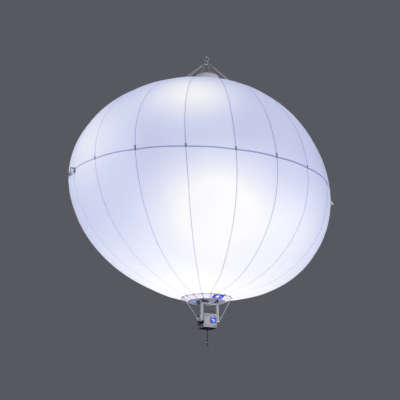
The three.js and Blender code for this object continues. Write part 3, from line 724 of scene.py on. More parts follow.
# Latitude after a walk of some metres up the cloth
def upBy(latitude, metres):
    return latitude + metres / math.hypot(cloth["radius"] * math.sin(latitude),
                                          cloth["halfHeight"] * math.cos(latitude))


# Degrees of azimuth that a width in metres takes up at a latitude
def degreesOf(metres, latitude):
    return math.degrees(metres / (cloth["radius"] * math.cos(latitude)))


# Lays a flat piece on the cloth: x metres along the azimuth, y metres up, z off the cloth
def layOnCloth(piece, latitude, azimuth, lift=0.0, turn=0.0):
    def laid(point):
        flat = Matrix.Rotation(math.radians(turn), 2) @ point.xy
        return clothPoint(upBy(latitude, flat.y), azimuth + degreesOf(flat.x, latitude), lift + point.z)
    return reshaped(piece, laid)


def latitudeOf(radius):
    return math.acos(radius / cloth["radius"])


def makeEnvelope():
    count = cloth["gores"]
    piece = addSphere("envelope_cloth", count * cloth["stepsPerGore"], cloth["rings"], "envelopeCloth")
    cutAt(piece, math.sin(crownLatitude), True)
    cutAt(piece, math.sin(collarLatitude), False)
    mergedDoubles(piece)
    mesh = piece.data
    directions = [vertex.co.normalized() for vertex in mesh.vertices]
    evenTurns = [math.degrees(math.atan2(d.x, -d.y)) for d in directions]
    latitudes = [math.asin(max(-1.0, min(1.0, d.z))) for d in directions]

    def goresAt(turn):
        return (turn - seamAzimuths[0]) * count / 360

    # the UV map counts gores from a seam and metres along the gore
    layer = mesh.uv_layers.active.data
    arc = 0.5 * (cloth["radius"] + cloth["halfHeight"])
    for polygon in mesh.polygons:
        middle = sum((directions[v] for v in polygon.vertices), Vector())
        home = math.degrees(math.atan2(middle.x, -middle.y))
        for loop in polygon.loop_indices:
            vertex = mesh.loops[loop].vertex_index
            turn = evenTurns[vertex]
            turn += 360 * round((home - turn) / 360)
            layer[loop].uv = (goresAt(turn), latitudes[vertex] * arc)
    # the even sphere's gores are stretched to the seams
    for turn, latitude, vertex in zip(evenTurns, latitudes, mesh.vertices):
        gores = goresAt(turn) % count
        k = min(int(gores + 1e-6), count - 1)
        azimuth = seamAzimuths[k] + (goreEnds[k] - seamAzimuths[k]) * (gores - k)
        vertex.co = clothPoint(latitude, azimuth)
    thickened(piece, cloth["thickness"], -1)
    return smoothed(finished(piece, "root", "envelope", "envelope_upper", "envelope_lower", smooth=0))


# Tapes over the seams, a belt, and short webbing tabs where they cross, with a loop at the top of each
seams = {"width": 0.015, "lift": 0.0010, "thickness": 0.0012, "rows": 120, "crowded": 0.20,
         "tabWidth": 0.040, "tabHeight": 0.115, "tabThickness": 0.0018, "shortTab": 0.72}
belt = {"width": 0.030, "thickness": 0.0035, "lift": 0.0024, "steps": 216}


def makeSeamTapes():
    tapes = []
    for azimuth in seamAzimuths:
        def laid(point, azimuth=azimuth):
            latitude = collarLatitude + (crownLatitude - collarLatitude) * (point.y + 0.5)
            # narrower towards the openings, where the tapes crowd
            width = min(seams["width"], seams["crowded"] * cloth["radius"] * math.cos(latitude))
            return clothPoint(latitude, azimuth + degreesOf(point.x * width, latitude), seams["lift"])

        tapes.append(reshaped(addGrid("seamTape", 4, seams["rows"], "seamTape"), laid))
    return finished(thickened(joined("seam_tapes", tapes), seams["thickness"]), "root", "tape")


def makeBelt():
    piece = addGrid("equator_belt", belt["steps"], 6, "beltWebbing")
    reshaped(piece, lambda p: clothPoint(upBy(0.0, p.y * belt["width"]), 360 * p.x, belt["lift"]))
    thickened(mergedDoubles(piece, 0.0005), belt["thickness"])
    return finished(bevelled(piece, 0.0008, 1, 50), "root", "tape", "equator_band")


def makeBeltTabs():
    def looped(point):
        loop = math.sin(math.pi * (point.y - 0.15) * 2.2) if point.y > 0.15 else 0.0
        return Vector((point.x * seams["tabWidth"], (point.y + 0.30) * seams["tabHeight"],
                       0.004 * max(0.0, loop)))

    flat = thickened(reshaped(addGrid("beltTab", 4, 12, "tabWebbing"), looped), seams["tabThickness"])
    sizes = [1.0 if k % 3 == 0 else seams["shortTab"] for k in range(cloth["gores"])]
    tabs = copiesOf(flat, [Matrix.Diagonal((1, size, 1, 1)) for size in sizes])
    for tab, azimuth in zip(tabs, seamAzimuths):
        layOnCloth(tab, 0.0, azimuth, belt["lift"] + belt["thickness"] + 0.0004)
    return finished(joined("belt_tabs", tabs), "root", "webbing")


envelope = makeEnvelope()
hem = [makeSeamTapes(), makeBelt(), makeBeltTabs()]
print("stage 4: envelope")


# Crown: its profile is rows of height over the foot and radius
crown = {"foot": -0.8518, "lift": 0.001, "pleats": 24, "pleatDepth": 0.006, "segments": 192, "rings": 72,
         "topPlate": (0.370, 0.3815, 0.055),
         "hem": [("hemCord", 0.010, 0.2765, 0.0055, "greyWebbing", 10),
                 ("hemBand", 0.030, 0.2805, 0.003, "seamTape", 8)],
         "profile": [(0.0, 0.276), (0.06, 0.292), (0.20, 0.304), (0.275, 0.308), (0.308, 0.301),
                     (0.334, 0.272), (0.354, 0.222), (0.370, 0.150), (0.380, 0.0)]}


def makeCrown():
    foot, rows = crown["foot"], crown["profile"]
    piece = cutAt(addSphere("crown_cover", crown["segments"], crown["rings"], "crownCloth"), 0.0, False)
    lengths = [0.0]
    for (z1, r1), (z2, r2) in zip(rows, rows[1:]):
        lengths.append(lengths[-1] + math.hypot(z2 - z1, r2 - r1))

    # points are spread along the profile by their latitude, then pleated
    def draped(point):
        walk = math.asin(max(0.0, min(1.0, point.z))) / (math.pi / 2) * lengths[-1]
        k = max(i for i in range(len(rows) - 1) if lengths[i] <= walk + 1e-9)
        share = (walk - lengths[k]) / (lengths[k + 1] - lengths[k])
        height, radius = (a + (b - a) * share for a, b in zip(rows[k], rows[k + 1]))
        angle = math.atan2(point.y, point.x)
        wave = (math.sin(crown["pleats"] * angle + 0.8 * math.sin(3 * angle))
                + 0.35 * math.sin(7 * angle + 1.0))
        depth = crown["pleatDepth"] * min(1.0, radius / 0.2) * (1 - 0.55 * share if k == 0 else 0.9)
        radius = max(0.0, radius - depth * (0.6 - 0.4 * wave)) if radius > 0 else 0.0
        height -= 0.006 * (1 - min(1.0, radius / 0.26)) * (1 + math.sin(5 * angle))
        return Vector((radius * math.cos(angle), radius * math.sin(angle), foot + crown["lift"] + height))

    thickened(reshaped(piece, draped), 0.0015, -1)
    smoothed(finished(piece, "root", "crown_fabric", "crown_cap", smooth=60))
    # hem cord, clamp band and the eyelet plate on top
    low, high, radius = crown["topPlate"]
    trim = [addRing(name, (0, 0, foot + rise), zWay, around, tube, finish, 96, across)
            for name, rise, around, tube, finish, across in crown["hem"]]
    trim += [addPost("topPlate", (0, 0), foot + low, foot + high, radius, "satinAlloy", 40, None, 0.002)]
    trim = finished(joined("crown_hem", trim), "root", "webbing")


makeCrown()
print("stage 5: crown")


# Suspension: hang ring, hub and the six bridle lines with their sewn patches
rigging = {"ring": 0.053, "ringWire": 0.008, "eye": 0.024, "eyeWire": 0.007, "eyeHeight": -0.1067,
           "hubTop": -0.1277, "hubFoot": -0.1877, "hubRadius": 0.030, "lineHeight": -0.1617,
           "lineFootStand": 0.024, "rope": 0.0066, "azimuths": [-170, -110, -50, 10, 70, 130],
           "radius": 1.000, "thimble": 0.012, "patchHalf": 0.088, "patchRingStand": 0.021,
           "shoulderAzimuths": [-90, 30, 150], "shoulderRadius": 1.330, "shoulderHalf": 0.108,
           "shoulderRingStand": 0.017, "flange": 0.2838, "flangeHole": 0.2322, "flangeRebate": 0.0235,
           "patchLayers": [(1.0, 0.0020, 0.0, "tabWebbing"), (0.70, 0.0045, 45.0, "collarWebbing"),
                           (0.46, 0.0070, 0.0, "tabWebbing")]}


# A rope whose u runs once round it and v in metres along it
def addRope(name, start, end, radius, finish):
    piece = addDrum(name, start, end, radius, finish, 14)
    way = (end - start).normalized()
    side = way.orthogonal().normalized()
    other = way.cross(side)

    def turnOf(arm):
        return math.atan2(arm.dot(other), arm.dot(side)) / full

    mesh = piece.data
    layer = mesh.uv_layers.active.data
    for polygon in mesh.polygons:
        home = turnOf(polygon.center - start)
        for loop in polygon.loop_indices:
            arm = mesh.vertices[mesh.loops[loop].vertex_index].co - start
            turn = turnOf(arm)
            layer[loop].uv = (turn + round(home - turn), arm.dot(way))
    return piece


def makeHanger():
    steel, ring, wire = "galvanised", rigging["ring"], rigging["ringWire"]
    parts = [addRing("hangRing", (0, 0, wire - ring), yWay, ring, wire, steel, 96, 20),
             addRing("ringWeld", (ring, 0, wire - ring), zWay, wire - 0.0012, 0.0018, steel, 24, 8)]
    finished(joined("hang_ring_round", parts), "root", "steel", "hang_ring")
    top, foot, radius = rigging["hubTop"], rigging["hubFoot"], rigging["hubRadius"]
    rows = [("hubCollar", top + 0.004, top - 0.008, 0.017, 40, 0.024, 0.001),
            ("hubTop", top - 0.006, top - 0.022, radius, 48, None, 0.0025),
            ("hubWaist", top - 0.020, foot + 0.014, radius - 0.006, 48),
            ("hubFoot", foot + 0.016, foot, radius, 48, None, 0.0025),
            ("hubNut", foot + 0.002, foot - 0.0055, 0.011, 6, None, 0.001)]
    parts = [addRing("hubEye", (0, 0, rigging["eyeHeight"]), xWay, rigging["eye"], rigging["eyeWire"],
                     steel, 64, 16)]
    parts += [addPost(name, (0, 0), high, low, size, steel, *rest) for name, high, low, size, *rest in rows]
    for azimuth in rigging["azimuths"]:
        spot = towards(azimuth, radius - 0.0055).xy
        parts.append(addPost("hubPin", spot, top - 0.014, foot + 0.006, 0.0032, steel, 16))
    finished(joined("bridle_hub_turned", parts), "root", "steel", "bridle_hub")


# A long eye of rope wire round a thimble
def loopAt(point, way):
    side = way.cross(zWay).normalized()
    eye = addRing("ropeEye", (0, 0, 0), zWay, 0.0105, 0.0028, "galvanised", 32, 10)
    moved(eye, Matrix.Diagonal((1.55, 1, 1, 1)))
    return moved(eye, axesAlong(way, side.cross(way), side, point))


def makeBridle():
    centre = Vector((0, 0, rigging["lineHeight"]))
    for k, azimuth in enumerate(rigging["azimuths"]):
        foot = clothPoint(latitudeOf(rigging["radius"]), azimuth, rigging["lineFootStand"])
        steep = (centre - foot).normalized().z
        start = centre + towards(azimuth, rigging["hubRadius"] + 0.0003 + rigging["thimble"] * steep)
        along, span = (foot - start).normalized(), (foot - start).length

        def walked(distance):
            return start + along * distance

        # one rope between its two spliced eyes
        parts = [addRope("bridleRope", walked(0.026), walked(span - 0.030), rigging["rope"], "bridleRope")]
        parts += [loopAt(walked(place), along) for place in (0.014, span - 0.016)]
        for place, long in ((0.028, 0.038), (span - 0.066, 0.034)):
            parts.append(addDrum("ferrule", walked(place), walked(place + long), 0.0098, "satinAlloy", 24,
                                 None, 0.0015))
        for place in (0.070, span - 0.085):
            parts.append(addRope("whipping", walked(place), walked(place + 0.014), 0.0072, "greyWebbing"))
        finished(joined(f"bridle_rope_{k + 1}", parts), "root", "rope", f"bridle_line_{k + 1}")


# A sewn patch in three layers with a strap over a D-ring
def sewnPatch(kind, number, radius, azimuth, half, ringStand):
    latitude = latitudeOf(radius)
    layers = []
    for share, lift, turn, finish in rigging["patchLayers"]:
        flat = moved(addGrid("patchLayer", 10, 10, finish), Matrix.Scale(2 * half * share, 4))
        layers.append(layOnCloth(thickened(flat, 0.0016), latitude, azimuth, lift, turn))
    strap = reshaped(addGrid("patchStrap", 8, 14, "greyWebbing"), lambda p: Vector((
        p.x * 0.034, p.y * half * 1.7, 0.0085 + (ringStand - 0.0135) * math.exp(-(p.y / 0.10) ** 2))))
    ring = addRing("patchRing", (0, 0, ringStand - 0.008), yWay, 0.019, 0.003, "galvanised", 32, 10)
    reshaped(ring, lambda p: Vector((p.x, p.y, max(p.z, ringStand - 0.0165))))
    bar = addPin("patchRingBar", -0.019, 0.019, (0, ringStand - 0.0135), 0.003, "galvanised", 12)
    layers += [layOnCloth(piece, latitude, azimuth) for piece in (thickened(strap, 0.0018), ring, bar)]
    finished(joined(f"{kind}_patch_sewn_{number}", layers), "root", "webbing", f"{kind}_patch_{number}")


def makeCrownRing():
    low, high = (corner.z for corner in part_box("crown_ring"))
    radius, alloy = rigging["flange"], "turnedAlloy"
    flange = addPost("crown_flange", (0, 0), low, high, radius, alloy, 96, None, 0.002)
    cutWith(flange, addPost("crownHole", (0, 0), low - 0.05, high + 0.05, rigging["flangeHole"], alloy, 96),
            addRing("crownRebate", (0, 0, low + 0.012), zWay, radius, rigging["flangeRebate"], alloy,
                    96, 4))
    finished(flange, "root", "alloy", "crown_ring")


makeHanger()
makeBridle()
for k, azimuth in enumerate(rigging["azimuths"]):
    sewnPatch("bridle", k + 1, rigging["radius"], azimuth, rigging["patchHalf"], rigging["patchRingStand"])
for k, azimuth in enumerate(rigging["shoulderAzimuths"]):
    sewnPatch("shoulder", k + 1, rigging["shoulderRadius"], azimuth, rigging["shoulderHalf"],
              rigging["shoulderRingStand"])
makeCrownRing()
print("stage 6: suspension")


# Collar: two tube rings with a cloth cone between them, and the plate in the lower one
collar = {"ringHeight": -5.9336, "ring": 0.560, "ringTube": 0.011, "skirtTop": -5.9449, "skirtFoot": -5.9999,
          "skirtFootRadius": 0.415, "lowerHeight": -6.0122, "lowerTube": 0.012, "plateTop": -5.9542,
          "plateFoot": -5.9662, "rimFoot": -6.0182, "plateRadius": 0.4022, "lipInner": 0.372, "sag": 0.007,
          "steps": 216, "strapWidth": 0.018, "hemRadius": 0.5480, "lugOut": 0.572, "panelAzimuth": 6.0,
          "panelSize": (0.260, 0.144, 0.010), "panelShare": 0.4742, "panelStand": 0.0068, "bolts": 18,
          "panelScrews": (0.1262, 0.0682), "ribOut": 0.225,
          "boltOut": 0.387, "ribs": [0, 24, -24, 90, -90, 116, -116], "mast": 0.0244, "toggleAzimuth": -34,
          "stripX": -0.332, "stripCaps": (-0.3992, -0.2648)}
skirtSlope = math.atan2(collar["skirtTop"] - collar["skirtFoot"], collar["ring"] - collar["skirtFootRadius"])


def coneRadius(share):
    return collar["ring"] + (collar["skirtFootRadius"] - collar["ring"]) * share


def conePoint(share, azimuth, lift=0.0):
    height = collar["skirtTop"] + (collar["skirtFoot"] - collar["skirtTop"]) * share
    out = coneRadius(share) + math.sin(skirtSlope) * lift
    return towards(azimuth, out, height - math.cos(skirtSlope) * lift)


def makeSkirt():
    # the cloth sags a little inwards between the radial straps
    def laid(point):
        share, azimuth = 0.5 - point.y, 360 * (point.x + 0.5)
        between = betweenSeams(azimuth)
        sag = collar["sag"] * between * math.sin(math.pi * (0.12 + 0.76 * share))
        fold = 0.0012 * math.sin(azimuth * 1.7 + 9 * share) * between
        return conePoint(0.01 + 0.98 * share, azimuth, fold - sag)

    piece = reshaped(addGrid("collar_skirt_cloth", collar["steps"], 12, "collarCloth"), laid)
    thickened(mergedDoubles(piece, 0.0003), 0.0014)
    finished(piece, "root", "skirt_fabric", "collar_skirt")
    straps = []
    for azimuth in hemAzimuths:
        def laidStrap(point, azimuth=azimuth):
            share = 0.5 - point.y
            across = math.degrees(point.x * collar["strapWidth"] / coneRadius(share))
            return conePoint(share, azimuth + across, 0.0022)

        straps.append(thickened(reshaped(addGrid("skirtStrap", 2, 10, "collarWebbing"), laidStrap), 0.0018))
    webbing = finished(joined("skirt_straps", straps), "root", "webbing")


# A sleeve round a tube that runs along y
def addSleeve(name, radius, tube, stretch, finish, around):
    return moved(addRing(name, (0, 0, 0), yWay, radius, tube, finish, around, 8),
                 Matrix.Diagonal((1, stretch, 1, 1)))


# Puts what is drawn round a tube along y on the collar's upper ring
def onCollar(azimuth):
    return shift(*towards(azimuth, collar["ring"], collar["ringHeight"])) @ spin(azimuth)


# The upper ring, and the straps that hold the envelope's hem to it, each with a buckle
def makeHemStraps():
    height, tube = collar["ringHeight"], collar["ringTube"]
    parts = [addRing("collarTube", (0, 0, height), zWay, collar["ring"], tube, "palePowder", 192, 16)]
    sleeve = addSleeve("ringSleeve", tube + 0.0006, 0.002, 12, "galvanised", 24)
    parts += copiesOf(sleeve, [onCollar(20 + 120 * k) @ spin(90) for k in range(3)])
    for side in (-1, 1):
        x, low = side * collar["lugOut"], height - 0.012
        bolt = low - 0.0064
        parts += [addBlock("collarLug", (x, 0, low), (0.011, 0.026, 0.034), "satinAlloy", 0.002),
                  addDrum("lugBolt", (x, -0.015, bolt), (x, 0.015, bolt), 0.005, "galvanised", 12)]

    def wrapped(point):
        azimuth, share = 360 * (point.x + 0.5), point.y + 0.5
        radius = collar["hemRadius"] + 0.0115 * (1 - share) - 0.0015 * betweenSeams(azimuth)
        return towards(azimuth, radius, height + 0.0006 + 0.0155 * share)

    hemBand = reshaped(addGrid("hemSleeve", collar["steps"], 3, "collarCloth"), wrapped)
    parts.append(thickened(mergedDoubles(hemBand, 0.0003), 0.0035))
    finished(joined("collar_tube_ring", parts), "root", "alloy", "collar_ring")
    bar = tube + 0.0072
    one = joined("hemStrap", [
        addSleeve("strap", tube + 0.0022, 0.0016, 9.5, "collarWebbing", 28),
        addBlock("buckle", (tube + 0.0052, 0, 0.001), (0.0035, 0.034, 0.020), "mouldedGrey", 0.001, 2),
        addDrum("buckleBar", (bar, -0.014, 0.001), (bar, 0.014, 0.001), 0.0016, "galvanised", 10),
        addBlock("strapTail", (tube + 0.0040, 0, -0.020), (0.0018, 0.022, 0.030), "collarWebbing")])
    straps = copiesOf(one, [onCollar(azimuth) @ spin(-90) for azimuth in hemAzimuths])
    finished(joined("hem_straps", straps), "root", "webbing")


def makePlate():
    top, ceiling, rim, radius = (collar[key] for key in ("plateTop", "plateFoot", "rimFoot", "plateRadius"))
    tubeHeight, tubeRadius, tube = collar["lowerHeight"], collar["skirtFootRadius"], collar["lowerTube"]
    lower = addRing("lower_tube_ring", (0, 0, tubeHeight), zWay, tubeRadius, tube, "palePowder", 160, 16)
    finished(lower, "root", "alloy", "lower_ring")
    # the plate is a pan: a recessed ceiling with a lip round its foot, in a paint whose faint glow is painted
    # light that lifts its shade
    paint, alloy, black, mast = "panPaint", "satinAlloy", "mouldedBlack", collar["mast"]
    pan = addPost("pan", (0, 0), top, rim, radius, paint, 128, None, 0.0015)
    cutWith(pan, addPost("panRecess", (0, 0), ceiling, rim + 0.008, radius - 0.006, paint, 128),
            addPost("panMouth", (0, 0), rim + 0.012, rim - 0.02, collar["lipInner"], paint, 128),
            addPost("fanHole", (0, blower["y"]), top + 0.05, ceiling - 0.02, blower["inner"] - 0.0002,
                    paint, 72),
            addPost("mastHole", (0, 0), top + 0.05, ceiling - 0.02, mast, paint, 32))
    parts = [pan]
    for k in range(collar["bolts"]):
        parts.append(hexBolt(towards(10 + 360 * k / collar["bolts"], collar["boltOut"], rim), -zWay, 0.006))
    rib = addBlock("panRib", (0, 0, 0), (0.018, 0.230, 0.010), paint, 0.0015)
    parts += copiesOf(rib, [shift(*towards(turn, collar["ribOut"], ceiling - 0.0045)) @ spin(turn)
                            for turn in collar["ribs"]])
    washer = addPost("mastCollar", (0, 0), ceiling + 0.001, ceiling - 0.009, 0.046, alloy, 48, None, 0.002)
    hole = addPost("mastHole", (0, 0), ceiling + 0.05, ceiling - 0.05, mast + 0.0002, alloy, 32)
    parts.append(cutWith(washer, hole))
    finished(joined("base_plate_pan", parts), "root", "alloy", "base_plate")
    # a short strap tail with a toggle hangs from the lower tube
    tag = joined("collar_toggle", [
        addBlock("toggleStrap", (0, 0, -0.030), (0.020, 0.0022, 0.052), black, 0.0008, 1),
        addPin("toggleBar", -0.013, 0.013, (0, -0.058), 0.0062, black, 20, None, 0.001),
        moved(addRing("toggleLoop", (0, 0, 0), xWay, tube + 0.0016, 0.0014, black, 28, 8),
              Matrix.Diagonal((7, 1, 1, 1)))])
    azimuth = collar["toggleAzimuth"]
    moved(tag, shift(*towards(azimuth, tubeRadius, tubeHeight)) @ spin(azimuth))
    finished(tag, "root", "black_plastic")


# u and v run over the piece's bounds in x and y
def flatMap(piece):
    mesh = piece.data
    spots = [vertex.co.xy for vertex in mesh.vertices]
    low = [min(spot[axis] for spot in spots) for axis in (0, 1)]
    span = [max(spot[axis] for spot in spots) - low[axis] for axis in (0, 1)]
    layer = mesh.uv_layers.active.data
    for loop in mesh.loops:
        spot = spots[loop.vertex_index]
        layer[loop.index].uv = ((spot.x - low[0]) / span[0], (spot.y - low[1]) / span[1])
    return piece


# A lit face in a bezel, both drawn flat with z outwards
def litFace(name, wide, high, height):
    return flatMap(addBlock(name, (0, 0, height), (wide, high, 0.002), name, 0.0008, 1))


def makeCollarLights():
    wide, high, thick = collar["panelSize"]
    screwX, screwY = collar["panelScrews"]
    housing = addBlock("panelHousing", (0, 0, 0), (wide, high, thick - 0.001), "darkPanel", 0.002)
    insetFaces(housing, facing(zWay), 0.007, -0.0012)
    parts = [housing, litFace("collarLamp", wide - 0.015, high - 0.015, 0.0036)]
    parts += [hexBolt((x, y, 0.0042), zWay, 0.0022, "galvanised", 0.0004) for x in (-screwX, screwX)
              for y in (-screwY, screwY)]
    rise, run = math.sin(skirtSlope), math.cos(skirtSlope)
    place = axesAlong(xWay, (0, -run, rise), (0, -rise, -run),
                      conePoint(collar["panelShare"], 0.0, collar["panelStand"]))
    panel = moved(joined("collar_lit_panel", parts), spin(collar["panelAzimuth"]) @ place)
    finished(panel, "root", "blue_light", "collar_panel")
    # light strip under the plate
    x, rim = collar["stripX"], collar["rimFoot"]
    parts = [addBlock("channel", (x, 0, rim - 0.0045), (0.139, 0.030, 0.0084), "satinAlloy", 0.001),
             flatMap(addBlock("diffuser", (x, 0, rim - 0.0163), (0.130, 0.026, 0.0158), "stripDiffuser",
                              0.005, 4))]
    parts += [addBlock("stripCap", (end, 0, rim - 0.0123), (0.005, 0.0296, 0.0236), "mouldedGrey", 0.002)
              for end in collar["stripCaps"]]
    finished(joined("strip_lamp", parts), "root", "blue_light", "light_strip")


# Blower under the plate, whose hole is in the collar's pan
blower = {"y": 0.215, "inner": 0.128, "outer": 0.135, "flange": 0.151, "flangeBolts": (8, 0.1432),
          "top": -5.9665, "foot": -6.0285, "motor": 0.038, "motorTop": -5.9365, "rotorHeight": -6.0005,
          "rotorHub": 0.034, "rotorRadius": 0.1125, "blades": 7, "bladeChord": 0.045, "rootPitch": 33.0,
          "tipPitch": 21.0, "guardHeight": -6.0318, "guard": [0.022, 0.042, 0.062, 0.082, 0.102, 0.120]}

makeSkirt()
makeHemStraps()
makePlate()
makeCollarLights()
print("stage 7: collar")


def makeDuct():
    y, top, foot, plastic = blower["y"], blower["top"], blower["foot"], "ductPlastic"
    axis = shift(0, y, 0)
    parts = [addPost("ductShell", (0, y), top, foot, blower["outer"], plastic, 96, None, 0.0015),
             addPost("ductFlange", (0, y), top, top - 0.005, blower["flange"], plastic, 96, None, 0.001)]
    for part in parts:
        cutWith(part, addPost("ductBore", (0, y), top + 0.02, foot - 0.02, blower["inner"], plastic, 96))
    can = blower["motorTop"]
    parts += [addPost("motorCan", (0, y), can, can - 0.040, blower["motor"], plastic, 48, None, 0.003),
              addPost("motorShaft", (0, y), top - 0.006, top - 0.046, 0.0068, "galvanised", 24, None, 0.0008)]
    arm = addBlock("motorArm", (0.081, 0, top - 0.005), (0.098, 0.012, 0.008), plastic, 0.0015)
    parts += copiesOf(arm, [axis @ spin(120 * k) for k in range(3)])
    rib = addBlock("ductRib", (blower["outer"] + 0.0045, 0, top - 0.018), (0.011, 0.004, 0.026), plastic,
                   0.001)
    count, out = blower["flangeBolts"]
    step = 360 / count
    parts += copiesOf(rib, [axis @ spin(step * (k + 1)) for k in range(count)])
    parts += [hexBolt(axis @ spin(step * (k + 0.5)) @ Vector((out, 0, top - 0.005)), -zWay, 0.0042)
              for k in range(count)]
    finished(joined("blower_duct_moulded", parts), "root", "black_plastic", "blower_duct")


# Hub with a shallow dish and twisted blades
def makeRotor():
    height, hubRadius, grey = blower["rotorHeight"], blower["rotorHub"], "mouldedGrey"
    hub = addPost("rotorHub", (0, 0), height + 0.0118, height - 0.0118, hubRadius, grey, 48, None, 0.002)
    insetFaces(hub, lambda middle, normal: normal.z < -0.9 and abs(middle.x) < 0.01, 0.008, -0.004)
    cutWith(hub, addPost("shaftHole", (0, 0), height + 0.03, height - 0.03, 0.0073, grey, 24))
    root = hubRadius - 0.004

    def twisted(point):
        share = point.x + 0.5
        radius = root + (blower["rotorRadius"] - root) * share
        pitch = math.radians(blower["rootPitch"] + (blower["tipPitch"] - blower["rootPitch"]) * share)
        chord = blower["bladeChord"] * point.y * (0.72 + 0.28 * math.sin(math.pi * (0.2 + 0.6 * share)))
        camber = 0.003 * (1 - (2 * point.y) ** 2)
        angle = chord * math.cos(pitch) / radius
        return Vector((radius * math.cos(angle), radius * math.sin(angle),
                       height + chord * math.sin(pitch) + camber - 0.001))

    blade = thickened(reshaped(addGrid("rotorBlade", 10, 6, grey), twisted), 0.0022, 0)
    blades = copiesOf(blade, [spin(360 / blower["blades"] * k) for k in range(blower["blades"])])
    rotor = moved(joined("blower_rotor_moulded", [hub, *blades]), shift(0, blower["y"], 0))
    finished(rotor, "rotor", "grey_paint", "blower_rotor")


def makeGuard():
    y, height, black = blower["y"], blower["guardHeight"], "blackSteel"
    wires = [addRing("guardWire", (0, y, height), zWay, radius, 0.0017, black, 72, 8)
             for radius in blower["guard"]]
    wires.append(addRing("guardRim", (0, y, height), zWay, 0.1315, 0.0029, black, 96, 10))
    spoke = addPin("guardSpoke", -0.131, 0.131, (0, 0), 0.0016, black, 10)
    wires += copiesOf(spoke, [shift(0, y, height + 0.0006) @ spin(30 * k) for k in range(6)])
    finished(joined("blower_guard_wires", wires), "root", "dark_steel", "blower_guard")


makeDuct()
makeRotor()
makeGuard()
print("stage 8: blower")


# Yoke: slotted legs and bar, with corner brackets, clamps, pivot plates and stays. A slot is rows of
# width, start and end of its depth
yoke = {"top": -5.9665, "barTop": -6.0635, "y": -0.130, "legFoot": -6.465, "halfWidth": 0.209,
        "legWide": 0.040, "legDeep": 0.080, "barHeight": 0.040, "pivot": -6.383, "pin": 0.009,
        "slot": [(0.0082, -0.002, 0.005), (0.0150, 0.0045, 0.0095)],
        "legBolts": (-6.0835, -6.279, -6.413), "barBolts": (-0.150, -0.060, 0.060, 0.150),
        "plateBolts": [(-0.150, -6.3620), (-0.150, -6.4200), (-0.110, -6.3620), (-0.110, -6.4200)],
        "plateSize": (0.2195, 0.0955, 0.014), "plateThick": 0.0138, "knobY": -0.072, "knobUp": 0.014,
        "arc": (9, -28, 7), "stayFootOut": 0.028, "stayFoot": -6.4790, "stayTop": -5.9669,
        "stayRadius": 0.0062,
        "turnbuckle": [(0.66, 0.69, 0.0085, 6), (0.69, 0.80, 0.0078, 16), (0.80, 0.83, 0.0085, 6)]}


# A beam along Z, with T-slots whose mouths are at the given places and look the given ways in x and y
def slottedBeam(name, wide, deep, length, slots):
    beam = addBlock(name, (0, 0, 0), (wide, deep, length), "slottedAlloy", 0.0015, 2)
    cutters = []
    for (x, y), outward in slots:
        for across, near, far in yoke["slot"]:
            centre = Vector((x, y, 0)) - Vector((*outward, 0)) * (near + far) / 2
            size = (far - near, across) if outward[0] else (across, far - near)
            cutters.append(addBlock("slotCutter", centre, (*size, length + 0.02), "slottedAlloy"))
    return cutWith(beam, *cutters)


def makeYokeFrame():
    half, wide, deep, thick = yoke["halfWidth"], yoke["legWide"], yoke["legDeep"], yoke["barHeight"]
    front, middleY = yoke["y"] - deep / 2 + 0.001, yoke["y"]
    ends = [((0, side * deep / 2), (0, side)) for side in (-1, 1)]
    slots = [((side * wide / 2, y), (side, 0)) for side in (-1, 1) for y in (-deep / 4, deep / 4)]
    leg = slottedBeam("yokeLeg", wide, deep, yoke["top"] - yoke["legFoot"], slots + ends)
    xs = [-(half - wide / 2), half - wide / 2]
    legs = copiesOf(leg, [shift(x, middleY, (yoke["top"] + yoke["legFoot"]) / 2) for x in xs])
    for name, x, beam in zip(("left", "right"), xs, legs):
        # T-bolts in the front and back slots
        parts = [beam]
        for z in yoke["legBolts"]:
            for side, y in ((-1, front), (1, 2 * middleY - front)):
                parts.append(hexBolt((x, y, z), (0, side, 0), 0.0062, "blackSteel", 0.0045))
        finished(joined(f"yoke_leg_slotted_{name}", parts), "root", "alloy", f"yoke_leg_{name}")
    slots = ends + [((thick / 2, y), (1, 0)) for y in (-deep / 4, deep / 4)]
    bar = slottedBeam("yokeBar", thick, deep, 2 * (half - wide) - 0.0006, slots)
    # local x becomes down and local z runs along the bar
    height = yoke["barTop"] - thick / 2
    moved(bar, axesAlong(-zWay, yWay, xWay, (0, middleY, height)))
    bolts = [hexBolt((x, front, height), -yWay, 0.0062, "blackSteel", 0.0045) for x in yoke["barBolts"]]
    finished(joined("yoke_bar_slotted", [bar, *bolts]), "root", "alloy", "yoke_bar")


# Bracket on the bar in the corner of the left leg, drawn with the bar's middle at y 0
def makeCornerBracket():
    inner, floor = -(yoke["halfWidth"] - yoke["legWide"] - 0.0003), yoke["barTop"] + 0.0003
    black = "blackSteel"
    outline = [(0.003, 0.003), (0.050, 0.003), (0.050, 0.006), (0.006, 0.050), (0.003, 0.050)]
    web = addPrism("bracketWeb", outline, 0.006, black, 0.0006, 1)
    mergedDoubles(moved(web, axesAlong(xWay, zWay, yWay, (inner, 0, floor))), 1e-6, True)
    return joined("corner_bracket", [
        addBlock("bracketWall", (inner + 0.003, 0, floor + 0.025), (0.006, 0.0598, 0.050), black, 0.001),
        addBlock("bracketFloor", (inner + 0.0275, 0, floor + 0.003), (0.045, 0.0598, 0.006), black, 0.001),
        *copiesOf(web, [shift(0, y, 0) for y in (-0.0265, 0.0265)]),
        hexBolt((inner + 0.006, 0, floor + 0.032), xWay, 0.0065),
        hexBolt((inner + 0.030, 0, floor + 0.006), zWay, 0.0065)])


